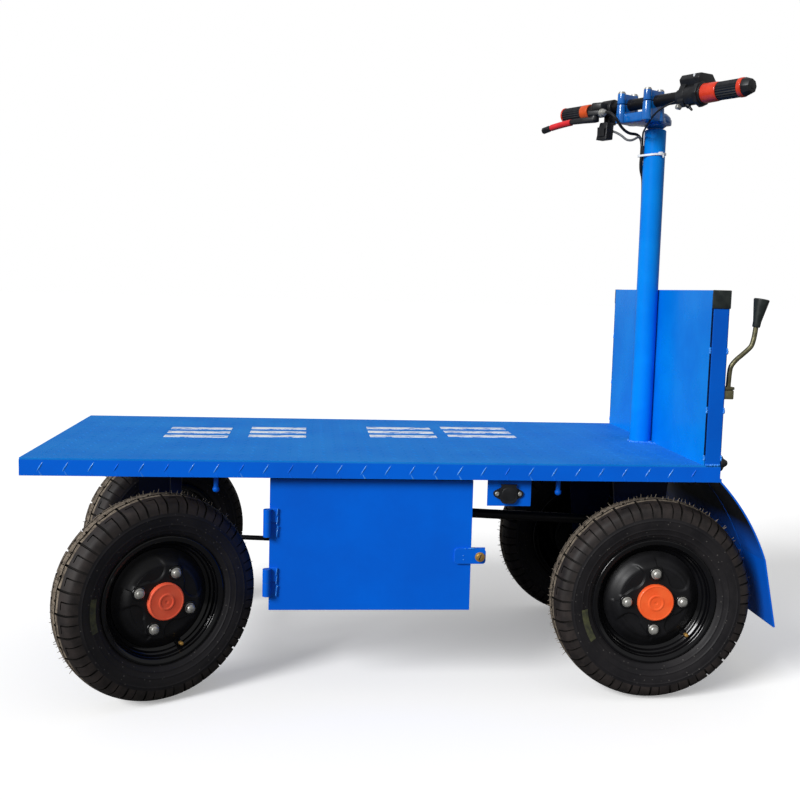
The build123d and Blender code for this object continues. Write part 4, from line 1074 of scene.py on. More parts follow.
    def _disc(self, turn: float) -> Shape:
        """The pressed disc, with its four pockets that run out at its edge."""
        face, back = self.disc_face, self.disc_face - 3.0
        rings = [(face, 30.0 + step, 0.0) for step in range(32)]
        edge = [(face - drop, radius, 0) for drop, radius in self.flank]
        edge += [(12.5, 84.5, 0), (10.8, self.well - 3, 0)]
        rear = [(7.5, self.well - 3, 0), (8.5, 84.5, 0), (face - 22, 79, 0), (back - 8, 70, 0),
                (back - 2, 63, 0), (back, 60, 0), (back, 28, 0), (face, 28, 0)]
        shape = turned(rings + edge + rear, 240, closed=True)
        for vertex in shape.verts:
            radius = math.hypot(vertex.co.y, vertex.co.z)
            front = back + 0.5 - max(0, radius - 60)
            if vertex.co.x > max(face - 14, front) and 29 < radius < 78:
                fade = min(1.0, (78.0 - radius) / 8.0)
                vertex.co.x -= self.pocket_depth * fade * self._in_pocket(vertex.co, turn)
        return shape

    def _hub(self, driven: bool) -> Shape:
        """The hub behind the disc, with the drum on a driven wheel."""
        seat = self.disc_face - 3.5
        points = [(seat, 12.2, 0), (seat, 28, 0), (-8, 28, 1.5), (-8, 12.2, 0)]
        if driven:
            points = [(seat, 12.2, 0), (seat, 28, 0), (-5, 28, 1.5), (-5, 58, 2), (-9, 62, 1.5),
                      (-34, 62, 1), (-34, 12.2, 0)]
        return turned(points, 64, closed=True)


@dataclass(frozen=True)
class Deck:
    """The load deck's rolled pattern and its worn paint."""

    mark_pitch: float = 41.4
    row_pitch: float = 33.0
    mark_length: float = 21.6
    top_width: float = 5.0
    skirt_width: float = 2.8
    top_height: float = 0.45
    skirt_height: float = 0.9
    mark_lean: float = 58.0
    # First and last place of each group along the deck, and its two edges across
    bar_groups: tuple[tuple[float, float, float, float], ...] = (
        (200, 322, 260, 400), (361, 473, 275, 417), (600, 735, 297, 445), (760, 899, 312, 463))

    def _mark(self, lean: float, height: float, width: float) -> Shape:
        """One lens-shaped mark of the rolled pattern, leaning in its plane.

        Args:
            lean: Angle of its length from X in degrees.
            height: Height of its crest.
            width: Width at its middle.

        Returns:
            The mark.
        """
        shape = bmesh.new()
        bmesh.ops.create_circle(shape, cap_ends=True, segments=10, radius=0.5)
        crest = shape.faces[:]
        bmesh.ops.inset_individual(shape, faces=crest, thickness=0.24, depth=0.0)
        top = {vertex for face in crest for vertex in face.verts}
        for vertex in shape.verts:
            vertex.co.y *= max(0.12, 1 - (2 * abs(vertex.co.x)) ** 2 * 0.75)
            vertex.co.z = 1.0 if vertex in top else 0.0
        bmesh.ops.scale(shape, vec=(self.mark_length, width, height), verts=shape.verts)
        bmesh.ops.rotate(shape, cent=(0, 0, 0), matrix=Matrix.Rotation(math.radians(lean), 3, "Z"),
                         verts=shape.verts)
        return shape

    def _field(self, length: float, width: float) -> Shape:
        """Marks over a flat field from the origin, both leans half a pitch apart."""
        field_mesh = bmesh.new()
        for lean, shift in ((self.mark_lean, 0.0), (-self.mark_lean, 0.5)):
            mark = self._mark(lean, self.top_height, self.top_width)
            start = Vector((self.mark_pitch, self.row_pitch, 0)) * (0.5 + shift)
            bmesh.ops.translate(mark, vec=start, verts=mark.verts)
            for step, count in (((self.mark_pitch, 0, 0), int(length / self.mark_pitch - shift)),
                                ((0, self.row_pitch, 0), int(width / self.row_pitch - shift))):
                base = everything(mark)
                for index in range(1, count):
                    copy = bmesh.ops.duplicate(mark, geom=base)["geom"]
                    bmesh.ops.translate(mark, vec=Vector(step) * index, verts=vertices(copy))
            carrier = bpy.data.meshes.new("marks")
            mark.to_mesh(carrier)
            mark.free()
            field_mesh.from_mesh(carrier)
            bpy.data.meshes.remove(carrier)
        return field_mesh

    def build(self) -> None:
        """Raise the rolled pattern and lay the scraped white paint."""
        low, high = extent("deck_plate")
        length, width = high.x - low.x, high.y - low.y
        piece = Piece("rolled_marks_top")
        piece.add(self._field(length - 16, width - 14), DECK_ENAMEL,
                  at((low.x + 8, low.y + 7, high.z - 0.05)))
        piece.done("chassis", "blue_paint", corner=50)
        self._skirts(low, high)
        self._paint(low, high)

    def _skirts(self, low: Vector, high: Vector) -> None:
        """Raise the pattern on the folded edges."""
        skirt_low, skirt_high = extent("skirt_near")
        drop = skirt_high.z - skirt_low.z
        faces = [
            ("near", at((low.x, low.y + 0.05, skirt_low.z), (1, 0, 0), (0, -1, 0)), high.x - low.x),
            ("far", at((high.x, high.y - 0.05, skirt_low.z), (-1, 0, 0), (0, 1, 0)),
             high.x - low.x),
            ("front", at((low.x + 0.05, high.y, skirt_low.z), (0, -1, 0), (-1, 0, 0)),
             high.y - low.y),
            ("rear", at((high.x - 0.05, low.y, skirt_low.z), (0, 1, 0), (1, 0, 0)), high.y - low.y),
        ]
        chance = random.Random(5)
        for name, place, length in faces:
            piece = Piece(f"rolled_marks_{name}")
            for lean, rise, shift in ((self.mark_lean, drop / 2 + 2.0, 0.82),
                                      (-self.mark_lean, -0.5, 0.9)):
                for index in range(int(length / self.mark_pitch - shift + 0.7)):
                    mark = self._mark(lean, self.skirt_height, self.skirt_width)
                    bmesh.ops.translate(mark, vec=(self.mark_pitch * (index + shift), rise, 0),
                                        verts=mark.verts)
                    if rise < 1:
                        slice_at(mark, (0, 0.4, 0), (0, -1, 0), clear=True)
                    # Painted highlight: a paler blue for light caught on the crests of most upper
                    # marks and some lower ones
                    crest_highlight = chance.random() < (0.8 if rise > 1 else 0.3)
                    piece.add(mark, MARK_ENAMEL if crest_highlight else ENAMEL, place)
            piece.done("chassis", "blue_paint", corner=50)

    def _paint(self, low: Vector, high: Vector) -> None:
        """Lay four groups of plain paint bars on the deck, partly scraped away."""
        piece = Piece("paint_bars")
        for start, stop, side, reach in self.bar_groups:
            third = (reach - side) / 5
            for index in range(3):
                bar = block((low.x + start, low.y + side + 2 * index * third, high.z - 0.2),
                            (low.x + stop, low.y + side + (2 * index + 1) * third, high.z + 0.5),
                            0.1, 1)
                piece.add(bar, WORN_WHITE)
        piece.done("chassis", "blue_paint")


@dataclass(frozen=True)
class Upright:
    """Trim of the upright, the column's foot and the rear guard: welds, plugs and buffer."""

    bead: float = 4.5
    sheet_welds: tuple[float, ...] = (10, 94, 198)
    sheet_weld_length: float = 6.0
    seam_runs: tuple[tuple[float, float], ...] = ((18, 92), (104, 196), (208, 300))
    guard_weld_height: float = 398.0
    buffer: tuple[Corner, ...] = ((-0.5, 0, 0), (-0.5, 15, 0.8), (4, 14.5, 1.2), (6, 9.5, 1.2),
                                  (11, 6.5, 1.0), (15, 4.0, 1.2), (15, 0, 0))

    def build(self) -> None:
        """Add the welds, the painted shade along the seams and the moulded trim."""
        self._welds()
        self._paint_seam_shade()
        self._plugs()
        self._buffer()

    def _welds(self) -> None:
        """Run the weld beads of the column's foot, the posts, the panel and the guard."""
        piece = Piece("weld_beads")
        low, high = extent("column_tube")
        centre = (low + high) / 2
        ring = [Vector((centre.x + 22.5 * math.cos(turn), centre.y + 22.5 * math.sin(turn),
                        low.z + 1.0))
                for turn in (math.tau * index / 40 for index in range(40))]
        piece.add(weld_bead(ring, 5.0, 3), WELD_ENAMEL)
        piece.weld((centre.x + 8, low.y - 1, low.z + 0.6), (centre.x + 34, low.y - 12, low.z + 0.4),
                   2.6, 3.4, 4)
        for index, node in enumerate(("post_near", "post_far")):
            low, high = extent(node)
            outer, inward = (low.y, 1) if index == 0 else (high.y, -1)
            for rise in self.sheet_welds:
                for x, y in ((low.x - 1.2, outer + 1.0 * inward),
                             (high.x - 0.5, outer + 0.6 * inward)):
                    start = Vector((x, y, low.z + rise))
                    piece.weld(start, start + Vector((0, 0, self.sheet_weld_length)), 2.4,
                               self.bead, 11 + index)
            foot = low.z + 0.6
            for y in (low.y, high.y):
                piece.weld((low.x + 3, y, foot), (high.x - 3, y, foot), 3.0, self.bead, 21 + index)
            piece.weld((high.x, low.y + 3, foot), (high.x, high.y - 3, foot), 3.0, self.bead,
                       31 + index)
            piece.weld((high.x - 2, low.y + 3, high.z), (high.x - 2, high.y - 3, high.z), 3.0, 3.6,
                       41 + index)
        for node in ("fender_near", "fender_far", "rear_apron"):
            low, high = extent(node)
            for share in (0.2, 0.5, 0.8):
                y = low.y + share * (high.y - low.y)
                piece.weld((low.x + 1, y - 9, self.guard_weld_height),
                           (low.x + 1, y + 9, self.guard_weld_height), 3.0, self.bead, 51)
        piece.done("chassis", "blue_paint", corner=60)

    def _paint_seam_shade(self) -> None:
        """Paint shade as a dark strip along the sheet's edge on both posts, broken at its weld
        spots.
        """
        piece = Piece("panel_seam_shade")
        panel_low, panel_high = extent("wall_panel")
        for edge, out in ((panel_low.y, -1), (panel_high.y, 1)):
            for start, stop in self.seam_runs:
                sides = sorted((edge - 1.3 * out, edge + 0.3 * out))
                low = (panel_low.x - 0.15, sides[0], panel_low.z + start)
                high = (panel_high.x + 0.2, sides[1], panel_low.z + stop)
                piece.add(block(low, high, 0.2, 1), SEAM_SHADE)
        piece.done("chassis", "blue_paint")

    def _buffer(self) -> None:
        """Stepped rubber buffer on the back of the near post's foot."""
        low, high = extent("post_near")
        piece = Piece("rubber_buffer")
        piece.add(turned(self.buffer, 36), CABLE_JACKET,
                  at((high.x, (low.y + high.y) / 2 - 4, low.z + 3)))
        piece.done("chassis", "black_plastic")

    def _plugs(self) -> None:
        """Close the top tube with plastic plugs."""
        low, high = extent("wall_rail")
        for name, y, out in (("near", low.y, -1), ("far", high.y, 1)):
            piece = Piece(f"tube_plug_{name}")
            sides = sorted((y - 0.4 * out, y + 2.2 * out))
            piece.add(block((low.x - 2.6, sides[0], low.z - 1.5),
                            (high.x + 0.6, sides[1], high.z + 0.4), 1.4, 3), PLUG_PLASTIC)
            piece.done("chassis", "black_plastic")


def head_frame(frame: dict) -> Matrix:
    """Frame of the steering head: X along the bar to the far side, Y forwards, Z up."""
    turn = next(joint for joint in frame["joints"] if joint["name"] == "steering_turn")
    spin = next(joint for joint in frame["joints"] if joint["name"] == "front_near_spin")
    return at([value / MM for value in turn["pos_m"]], spin["axis"])


@dataclass(frozen=True)
class Yoke:
    """Cast yoke on the steering shaft with two split risers, in the head's frame."""

    head: Matrix
    across: float = 32.0
    reach: float = 18.0
    forward: float = 48.0
    bottom: float = -36.0
    plate_top: float = -24.0
    split: float = 0.7
    web_half: float = 7.4
    top: float = 20.5
    bolt: tuple[Corner, ...] = ((-1, 0, 0), (-1, 7.4, 0), (1.2, 7.4, 0.3), (1.4, 6.0, 0.2),
                                (3.6, 6.0, 0.8), (3.6, 2.8, 0.2), (1.6, 2.6, 0), (1.6, 0, 0))

    def build(self) -> None:
        """Make the yoke, its riser caps and their bolts."""
        lower, upper, bolts = Piece("steering_yoke"), Piece("riser_clamps"), Piece("clamp_bolts")
        split = self.split
        for side in (-self.across, self.across):
            for reach in (-self.reach, self.reach):
                foot = self.head @ at((side, self.forward + reach, 0), (0, 0, 1), (1, 0, 0))
                lower.add(turned([(self.bottom, 0, 0), (self.bottom, 10.2, 0.8), (-split, 8.2, 0.7),
                                  (-split, 0, 0)], 36), HEAD_ENAMEL, foot)
                upper.add(turned([(split, 0, 0), (split, 8.2, 0.7), (self.top, 7.8, 1.4),
                                  (self.top, 0, 0)], 36), HEAD_ENAMEL, foot)
                bolts.add(turned([(self.top + rise, radius, rounding)
                                  for rise, radius, rounding in self.bolt], 28), BRIGHT_ZINC, foot)
            near, far = self.forward - self.reach, self.forward + self.reach
            left, right = side - self.web_half, side + self.web_half
            lower.add(block((left, near, self.bottom), (right, far, -split), 0.8), HEAD_ENAMEL,
                      self.head)
            upper.add(block((left, near, split), (right, far, self.top - 0.8), 1.8), HEAD_ENAMEL,
                      self.head)
        lower.add(block((-27, self.forward - 2, self.bottom), (27, self.forward + 19, -18), 3.0, 3),
                  HEAD_ENAMEL, self.head)
        plate = [(-38, 42), (-20, -24), (20, -24), (38, 42), (38, 66), (-38, 66)]
        lower.add(prism(plate, self.bottom - 0.4, self.plate_top, 2.5, 3), HEAD_ENAMEL, self.head)
        lower.add(turned([(-14, 0, 0), (-14, 20, 2), (-22, 28, 2), (-31, 29, 2), (-44.4, 12.5, 1),
                          (-44.4, 0, 0)], 40), HEAD_ENAMEL,
                  self.head @ at((0, 0, 0), (0, 0, 1), (1, 0, 0)))
        lower.done("steering", "head_paint", ["head_yoke"])
        upper.done("steering", "head_paint", ["riser_caps"])
        bolts.done("steering", "bare_steel")


@dataclass(frozen=True)
class Controls:
    """Grips, pod, brake lever and switch box on the handlebar, in the head's frame."""

    head: Matrix
    forward: float = 48.0

    def _on_bar(self, place: float) -> Matrix:
        """Frame on the bar at a distance from the middle, X along the bar to the far side."""
        return self.head @ Matrix.Translation((place, self.forward, 0))

    def _fluted(self, start: float, stop: float, radius: float, flutes: int, depth: float) -> Shape:
        """A rubber sleeve with flutes along it."""
        steps = flutes * 4
        shape = sleeve(start, stop, radius - 4, radius, 0.6, steps)
        for vertex in shape.verts:
            around = math.atan2(vertex.co.y, vertex.co.z)
            reach = math.hypot(vertex.co.y, vertex.co.z)
            if reach > radius - 2 and start + 0.3 < vertex.co.x < stop - 0.3:
                pull = depth * (0.5 - 0.5 * math.cos(around * flutes))
                vertex.co.y *= (reach - pull) / reach
                vertex.co.z *= (reach - pull) / reach
        return shape

    def build(self) -> None:
        """Make every control."""
        self._throttle()
        self._pod()
        self._far_grip()
        self._lever()
        self._switch()

    def _octagon(self, start: float, stop: float, radius: float, chamfer: float,
                 end: float | None = None) -> Shape:
        """An eight-sided sleeve or end, with a chamfer at its outer end."""
        shape = turned([(start, 0, 0), (start, radius, 0), (stop, radius, 0), (stop, 0, 0)], 8)
        if end is not None:
            for vertex in shape.verts:
                if abs(vertex.co.x - end) < 0.1:
                    vertex.co.y *= 0.72
                    vertex.co.z *= 0.72
        soften(shape, chamfer, 2)
        return shape

    def _throttle(self) -> None:
        """Twist throttle: flange, red sleeve, ribbed grip, orange ring and eight-sided end."""
        piece = Piece("throttle")
        bar = self._on_bar(0)
        piece.add(self._octagon(-145, -137, 23.5, 1.0), BLACK_NYLON, bar)
        piece.add(sleeve(-149, -145, 12, 19.5, 0.8), BLACK_NYLON, bar)
        piece.add(turned([(-181, 12, 0), (-181, 16.6, 1.2), (-176, 17.4, 2), (-149, 18.0, 1.5),
                          (-148.6, 12, 0)], 64, closed=True), RED_SLEEVE, bar)
        piece.add(self._fluted(-225, -181.4, 16.4, 22, 1.5), GRIP_RUBBER, bar)
        piece.add(turned([(-234, 12, 0), (-234, 17.0, 1.5), (-225.4, 17.2, 1.0), (-225.4, 12, 0)],
                         64, closed=True), RED_SLEEVE, bar)
        piece.add(self._octagon(-249, -234.4, 17.4, 1.0, end=-249), BLACK_NYLON, bar)
        piece.add(turned([(-249.5, 0, 0), (-249.5, 5.5, 0.6), (-247, 6.5, 0.4), (-247, 0, 0)], 24),
                  CABLE_JACKET, bar)
        piece.done("steering", "grip_rubber", ["throttle_grip"])

    def _pod(self) -> None:
        """Control pod: clamp with its bolt and stub, and a housing that rises behind the bar."""
        piece = Piece("control_pod_housing")
        bar = self._on_bar(0)
        side = bar @ at((0, 0, 0), (0, 1, 0), (1, 0, 0))
        housing = [(2, 14), (9, 30), (2, 39), (-32, 40), (-45, 26), (-30, 20), (-12, 16)]
        piece.add(prism(housing, -141, -96, 2.0, 3), BLACK_NYLON, side)
        arm = [(-14, 18), (4, 24), (13, 8), (13, -10), (7, -19), (-2, -19), (4, -8), (4, 4),
               (-8, 10)]
        piece.add(prism(arm, -110, -97, 1.2, 2), BLACK_NYLON, side)
        piece.add(sleeve(-136, -112, 11.2, 17.5, 1.5), BLACK_NYLON, bar)
        piece.add(sleeve(-112, -92, 11.2, 14.0, 1), BLACK_NYLON, bar)
        piece.add(turned([(-4, 0, 0), (-4, 4.8, 0.3), (5, 4.8, 0.9), (5.6, 0, 0)], 24), BRIGHT_ZINC,
                  bar @ at((-98, 8, -19), (0.3, 0.8, 0.1)))
        piece.add(turned([(0, 0, 0), (0, 5.0, 0.8), (7, 4.4, 0.8), (9, 2.6, 0.5), (17, 2.0, 0.6),
                          (17.4, 0, 0)], 20), CABLE_JACKET,
                  bar @ at((-112, 2, -15), (-0.7, 0, -0.7), (0, 1, 0)))
        piece.add(block((3.0, 30.5, -129.5), (7.4, 37.5, -127), 0.4, 2), TIE_NYLON, side)
        piece.done("steering", "black_plastic", ["control_pod"])

    def _far_grip(self) -> None:
        """Far grip with its orange band and red end."""
        piece = Piece("far_hand_grip")
        bar = self._on_bar(0)
        piece.add(turned([(128, 12, 0), (128, 14.6, 1), (148, 14.6, 0.8), (148, 12, 0)], 56,
                         closed=True), ORANGE_BAND, bar)
        piece.add(self._fluted(148.2, 196, 14.4, 20, 1.3), GRIP_RUBBER, bar)
        piece.add(turned([(196.2, 0, 0), (196.2, 15.4, 1.2), (200.6, 15.0, 1.8), (201, 0, 0)], 56),
                  RED_SLEEVE, bar)
        piece.done("steering", "grip_rubber", ["far_grip"])

    def _lever(self) -> None:
        """Brake perch and lever: clamp, pivot, flat blade, red sleeve and square tip."""
        perch = Piece("brake_clamp")
        bar = self._on_bar(0)
        perch.add(sleeve(64, 92, 11.2, 16, 1.2), BLACK_NYLON, bar)
        lower = [(64, 6), (96, 6), (108, 30), (96, 44), (72, 36)]
        upper = [(66, 4), (96, 4), (104, 24), (94, 36), (74, 30)]
        perch.add(prism(lower, -17, -7, 1.6, 3), BLACK_NYLON, bar)
        perch.add(prism(upper, -7, 9, 3.4, 3), BLACK_NYLON, bar)
        screw = bar @ at((64, 33, -13), (-1, 0.45, 0), (0, 0, 1))
        perch.add(turned([(-12, 0, 0), (-12, 8.0, 0.8), (-4, 8.4, 0.8), (-4, 6.4, 0), (3, 6.4, 0.8),
                          (3, 4.0, 0), (10, 3.4, 0.5), (10, 0, 0)], 12), BRIGHT_ZINC, screw)
        perch.done("steering", "black_plastic", ["brake_perch"])
        piece = Piece("brake_lever_blade")
        piece.add(turned([(0, 0, 0), (0, 9, 1), (10, 9, 1), (10, 0, 0)], 32), BLACK_NYLON,
                  bar @ at((88, 32, -27), (0, 0, 1), (1, 0, 0)))
        piece.add(prism([(80, 26), (92, 23), (114, 31), (142, 36.5), (146, 37), (146, 45),
                         (138, 46), (108, 46), (84, 41)], -29, -19.5, 2.2, 3), BLACK_NYLON, bar)
        blade = [(134, 41, -24.5), (170, 40, -25.5), (205, 37, -29)]
        cover = [(142, 41, -24.8), (172, 39.6, -25.8), (201, 37, -28.6)]
        piece.add(tube([bar @ Vector(point) for point in blade], 4.6), BLACK_NYLON)
        piece.add(tube([bar @ Vector(point) for point in cover], 6.6, 4), LEVER_SLEEVE)
        tip = bar @ at((201, 37, -28.6), (1, -0.09, -0.13), (0, 0, 1))
        piece.add(turned([(0, 0, 0), (0, 6.2, 0.8), (9, 6.0, 0.8), (9, 6.9, 0.6), (26, 6.9, 1.6),
                          (26, 0, 0)], 8), BLACK_NYLON, tip)
        piece.done("steering", "red_plastic", ["brake_lever"])

    def _switch(self) -> None:
        """Switch box that hangs under the bar and widens downwards."""
        piece = Piece("switch_housing")
        bar = self._on_bar(0)
        shape = block((61, 4, -64), (81, 24, -30), 0, 1)
        for vertex in shape.verts:
            if vertex.co.z < -50:
                vertex.co.x += math.copysign(3.4, vertex.co.x - 71)
                vertex.co.y += 6.0
        soften(shape, 1.4, 3)
        piece.add(shape, BLACK_NYLON, bar)
        piece.add(block((66, -8, -33), (82, 12, -11), 2.0, 2), BLACK_NYLON, bar)
        piece.add(block((62, 30.6, -58), (80, 31.4, -40), 0.3, 1), CABLE_JACKET, bar)
        piece.done("steering", "black_plastic", ["switch_box"])


@dataclass(frozen=True)
class Cables:
    """Control cables from the bar to the column, the loom down it and its tie."""

    head: Matrix
    stand_off: float = 24.2
    tie_drop: float = 50.0
    tie_width: float = 3.8
    # Heights over the column's top, where the head turns, passed with the cables' blend; nothing
    # bends the cables
    bend: tuple[float, float] = (-30.0, 14.0)
    loom_out: float = 24.5
    # Sideways shift and radius of each strand of the loom
    strands: tuple[tuple[float, float], ...] = ((-2.6, 2.6), (2.6, 2.8), (0.0, 2.4))

    def build(self) -> None:
        """Lay the cables, the loom and the tie."""
        low, high = extent("column_tube")
        x, top = (low.x + high.x) / 2, high.z
        side = x - self.stand_off
        gather = [Vector((side - 1, 0, top - 22)), Vector((side, 0, top - 32))]
        routes = [
            ([(-94, 52, -6), (-58, 66, -16), (-22, 60, -54)], -2.4, 1.8, CABLE_JACKET),
            ([(58, 82, -13), (30, 94, -16), (22, 64, -56)], 2.6, 2.8, CABLE_JACKET),
            ([(64, 52, -46), (44, 56, -52), (20, 52, -72)], 0.0, 2.3, GREY_JACKET),
        ]
        piece = Piece("control_cables")
        for points, shift, radius, finish in routes:
            path = [self.head @ Vector(point) for point in points]
            path += [spot + Vector((-1.0, shift, 14 * (1 - index))) for index,
                     spot in enumerate(gather)]
            piece.add(tube(path, radius), finish)
        piece.done("steering", "cable_rubber", ["cable_tails"],
                   blend=("chassis", "steering", (x * MM, 0, (top + self.bend[0]) * MM),
                          (x * MM, 0, (top + self.bend[1]) * MM)))
        loom = Piece("cable_bundle")
        back = self.loom_out
        for shift, radius in self.strands:
            path = [(side - 1.0, shift, top - 31), (side - 0.8, 0.5 + shift, top - 52),
                    (side + 0.4, 7 + shift, top - 66), (x - 18, 19 + shift, top - 82),
                    (x - 9 + shift, back + 1, top - 104), (x - 9 + shift, back, top - 220),
                    (x - 9 + shift, back, low.z + 160), (x - 9 + shift, back, low.z)]
            loom.add(tube(path, radius), CABLE_JACKET)
        loom.done("chassis", "cable_rubber", ["cable_loom"])
        self._tie(x, side, top - self.tie_drop)

    def _tie(self, x: float, side: float, height: float) -> None:
        """Cable tie round the column and the cables together, slightly aslant."""
        piece = Piece("cable_tie")
        ring = [Vector((x + 21.8 * math.cos(turn), 21.8 * math.sin(turn), 0))
                for turn in (math.radians(-118 + 236 * index / 36) for index in range(37))]
        ring += [Vector((side - 1.5 + 6.4 * math.cos(turn), 6.4 * math.sin(turn), 0))
                 for turn in (math.radians(125 + 110 * index / 12) for index in range(13))]
        band = bmesh.new()
        corners = [band.verts.new(point) for point in ring]
        edges = [band.edges.new(pair) for pair in zip(corners, corners[1:] + corners[:1])]
        grown = bmesh.ops.extrude_edge_only(band, edges=edges)["geom"]
        bmesh.ops.translate(band, vec=(0, 0, self.tie_width), verts=vertices(grown))
        bmesh.ops.recalc_face_normals(band, faces=band.faces)
        bmesh.ops.solidify(band, geom=band.faces[:], thickness=-1.1)
        for vertex in band.verts:
            vertex.co.z += height + 0.08 * (vertex.co.x - x)
        piece.add(band, TIE_NYLON)
        piece.add(block((-4, -3.2, -3.2), (4, 3.2, 3.2), 0.8, 2), TIE_NYLON,
                  at((x + 5, -23.4, height + 2.5)))
        piece.add(block((-1.8, -0.6, -9), (1.8, 0.6, 0), 0.4, 2), TIE_NYLON,
                  at((x + 8, -25.5, height + 3.5), (1, 0, 0.3)))
        piece.done("chassis", "black_plastic")


@dataclass(frozen=True)
class SideLever:
    """Bent rod with a tapered knob on its block at the near post."""

    rod: float = 4.4
    knob_foot: float = 6.8
    knob_top: float = 13.6
    knob_length: float = 50.0

    def build(self) -> None:
        """Make the block, the rod and the knob."""
        low, high = extent("side_lever")
        y, x = (low.y + high.y) / 2, low.x
        piece = Piece("bent_side_lever")
        piece.add(block((x, low.y, low.z), (x + 17, high.y, low.z + 15.6), 1.2), YELLOW_ZINC)
        piece.add(block((x + 0.6, low.y + 1, low.z + 14), (x + 15.6, high.y - 1, low.z + 17.2),
                        0.6), CHASSIS_BLACK)
        piece.add(block((x, low.y, low.z + 16.6), (x + 18, high.y, low.z + 21.5), 1.2), YELLOW_ZINC)
        route = [(x + 10.5, y, low.z + 14), (x + 11, y, low.z + 44), (x + 14, y, low.z + 62),
                 (x + 42, y, low.z + 86), (x + 52, y, low.z + 98), (x + 54.5, y, low.z + 128)]
        piece.add(tube(route, self.rod, 4), YELLOW_ZINC)
        piece.done("chassis", "zinc_yellow", ["side_lever"])
        knob = Piece("tapered_lever_knob")
        length, foot, top = self.knob_length, self.knob_foot, self.knob_top
        knob.add(turned([(0, 0, 0), (0, foot, 1.5), (length * 0.2, foot + 0.3, 0),
                         (length - 1.5, top, 0.8), (length, top - 1.5, 0.4), (length, 0, 0)], 40),
                 PLUG_PLASTIC, at((x + 54.6, y, low.z + 126.5), (0.15, 0, 0.99), (1, 0, 0)))
        knob.done("chassis", "grip_rubber", ["lever_knob"])


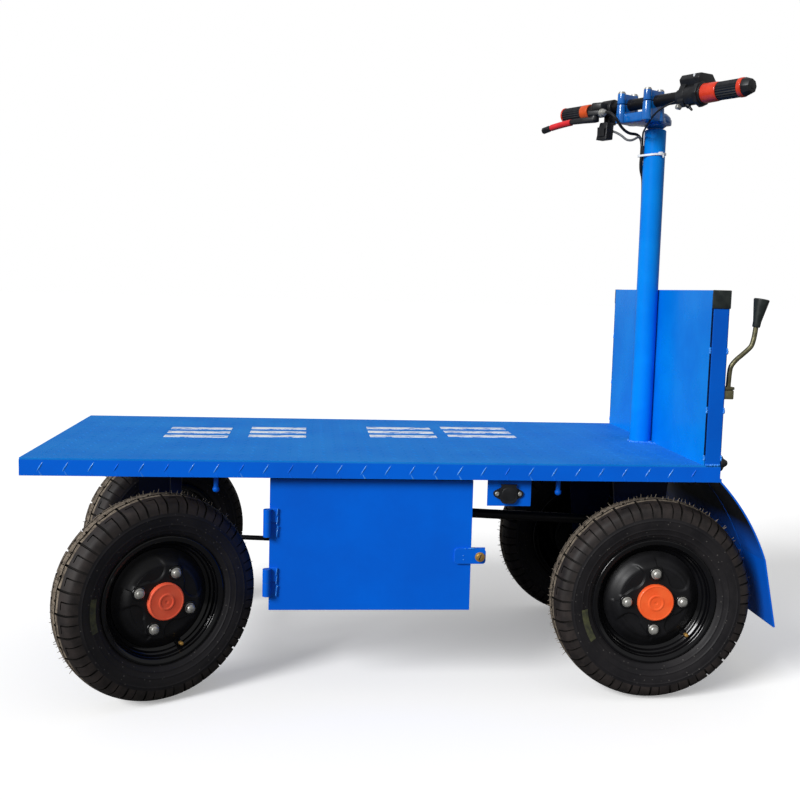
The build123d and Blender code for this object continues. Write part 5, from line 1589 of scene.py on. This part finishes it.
@dataclass(frozen=True)
class Fittings:
    """Screws, lock and weld spots on the box, its door and the inlet."""

    leaf_edge: float = -233.2
    leaf_rises: tuple[float, ...] = (27.0, 131.5)
    leaf_beads: tuple[tuple[float, float], ...] = ((0, 17), (21, 12), (37, 10))
    screw_pitch: float = 40.0
    hasp_welds: tuple[tuple[float, float, float], ...] = ((-26.0, 13.2, 1.0), (-19.0, 13.8, 9.0),
                                                          (-29.0, 1.0, 0.6), (-28.6, -6.0, 0.6))

    def build(self) -> None:
        """Add every small fitting."""
        self._inlet()
        self._lock()
        self._door_welds()

    def _inlet(self) -> None:
        """Two pan-head screws in the inlet's flange and the hinge bar of its flip cover."""
        low, high = extent("charge_inlet")
        screws, trim = Piece("inlet_screws"), Piece("inlet_hinge_bar")
        middle = (low + high) / 2
        flange = low.y + 4.0
        for side in (-self.screw_pitch / 2, self.screw_pitch / 2):
            place = at((middle.x + side, flange + 0.2, middle.z), (0, -1, 0), (0, 0, 1))
            screws.add(turned([(0, 0, 0), (0, 4.2, 0.2), (2.0, 3.8, 0.8), (2.6, 1.4, 0.2),
                               (1.6, 1.2, 0), (1.6, 0, 0)], 24), BRIGHT_ZINC, place)
        trim.add(turned([(-14, 0, 0), (-14, 1.8, 0.3), (14, 1.8, 0.3), (14, 0, 0)], 16),
                 BLACK_NYLON, at((middle.x, low.y + 1.6, high.z - 0.6)))
        trim.add(turned([(0, 0, 0), (0, 12.5, 0.3), (0.8, 12.0, 0.5), (0.8, 0, 0)], 40),
                 BLACK_NYLON, at((middle.x, low.y + 0.3, middle.z), (0, -1, 0), (0, 0, 1)))
        screws.done("chassis", "bare_steel")
        trim.done("chassis", "black_plastic")

    def _lock(self) -> None:
        """Turn lock: washer, domed brass head, and a dark strip of painted shade for its slot."""
        low, high = extent("door_lock")
        middle = (low + high) / 2
        piece = Piece("slotted_turn_lock")
        place = at((middle.x, low.y, middle.z), (0, -1, 0), (0.35, 0, 1))
        depth = high.y - low.y
        piece.add(turned([(-depth, 0, 0), (-depth, 7.2, 0.4), (-1.8, 7.2, 0.4), (-1.8, 8.6, 0.3),
                          (-0.9, 8.6, 0.3), (-0.6, 6.2, 0), (0.4, 5.8, 0.7), (0.6, 0, 0)], 36),
                  BRASS, place)
        # Painted shade: a dark strip in the head's slot
        piece.add(block((0.2, -0.9, -5.2), (0.8, 0.9, 5.2), 0.15, 1), SEAM_SHADE, place)
        piece.done("door", "lock_brass", ["door_lock"])

    def _door_welds(self) -> None:
        """Weld spots along the hinge leaves and round the hasp strap."""
        low, _ = extent("battery_door")
        lock = sum(extent("door_lock"), Vector()) / 2
        piece = Piece("door_welds")
        face = low.y + 11.0
        for rise in self.leaf_rises:
            for lift, length in self.leaf_beads:
                start = Vector((self.leaf_edge, face, low.z + rise + lift))
                piece.weld(start, start + Vector((1.4, 0, length)), 1.6, 2.2, 61)
        for x, z, run in self.hasp_welds:
            start = Vector((lock.x + x, face, lock.z + z))
            piece.weld(start, start + Vector((run, 0, 0)), 1.8, 3.0, 71)
        piece.done("door", "blue_paint", corner=60)


class Truck:
    """The whole truck: dresses the carried-over nodes and builds the new pieces."""

    def __init__(self, frame: dict) -> None:
        """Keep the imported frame."""
        self.frame = frame
        self.joints = {joint["name"]: joint for joint in frame["joints"]}

    def dress(self) -> None:
        """Give every carried-over CAD node the finish of its material slot."""
        for part in self.frame["record"]["subparts"]:
            node = self.frame["nodes"][part["node"]]
            finish = NODE_FINISH.get(part["node"], SLOT_FINISH[part["material_slot"]])
            node.data.materials.clear()
            node.data.materials.append(finish.material())
            log.info("%s: %s", part["node"], finish.name)

    def wheel_frame(self, name: str) -> Matrix:
        """Frame of a wheel from its joint: X outwards along the axle, Z up."""
        joint = self.joints[f"{name}_spin"]
        side = -1.0 if name.endswith("near") else 1.0
        return at([value / MM for value in joint["pos_m"]], Vector(joint["axis"]) * side)

    def build(self) -> None:
        """Build the pieces in order, from the ground up."""
        corners = [
            ("front_near", -23.4, 202.0, 92.0, CAP_RED, False),
            ("front_far", 12.0, 60.0, None, CAP_RED, False),
            ("rear_near", 0.0, 225.0, 108.5, CAP_ORANGE, True),
            ("rear_far", 31.0, 120.0, None, CAP_ORANGE, True),
        ]
        for name, nut, valve, ink, cap, driven in corners:
            place = self.wheel_frame(name)
            Tyre().build(name, f"{name}_wheel", place, ink)
            Wheel().build(name, f"{name}_wheel", place, nut, valve, cap, driven)
        Deck().build()
        Upright().build()
        head = head_frame(self.frame)
        Yoke(head).build()
        Controls(head).build()
        Cables(head).build()
        SideLever().build()
        Fittings().build()


def main() -> None:
    """Load the frame, dress it and build the scene."""
    logging.basicConfig(level=logging.INFO, format="%(message)s")
    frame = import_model()
    Studio().build()
    truck = Truck(frame)
    truck.dress()
    truck.build()


if __name__ == "__main__":
    main()
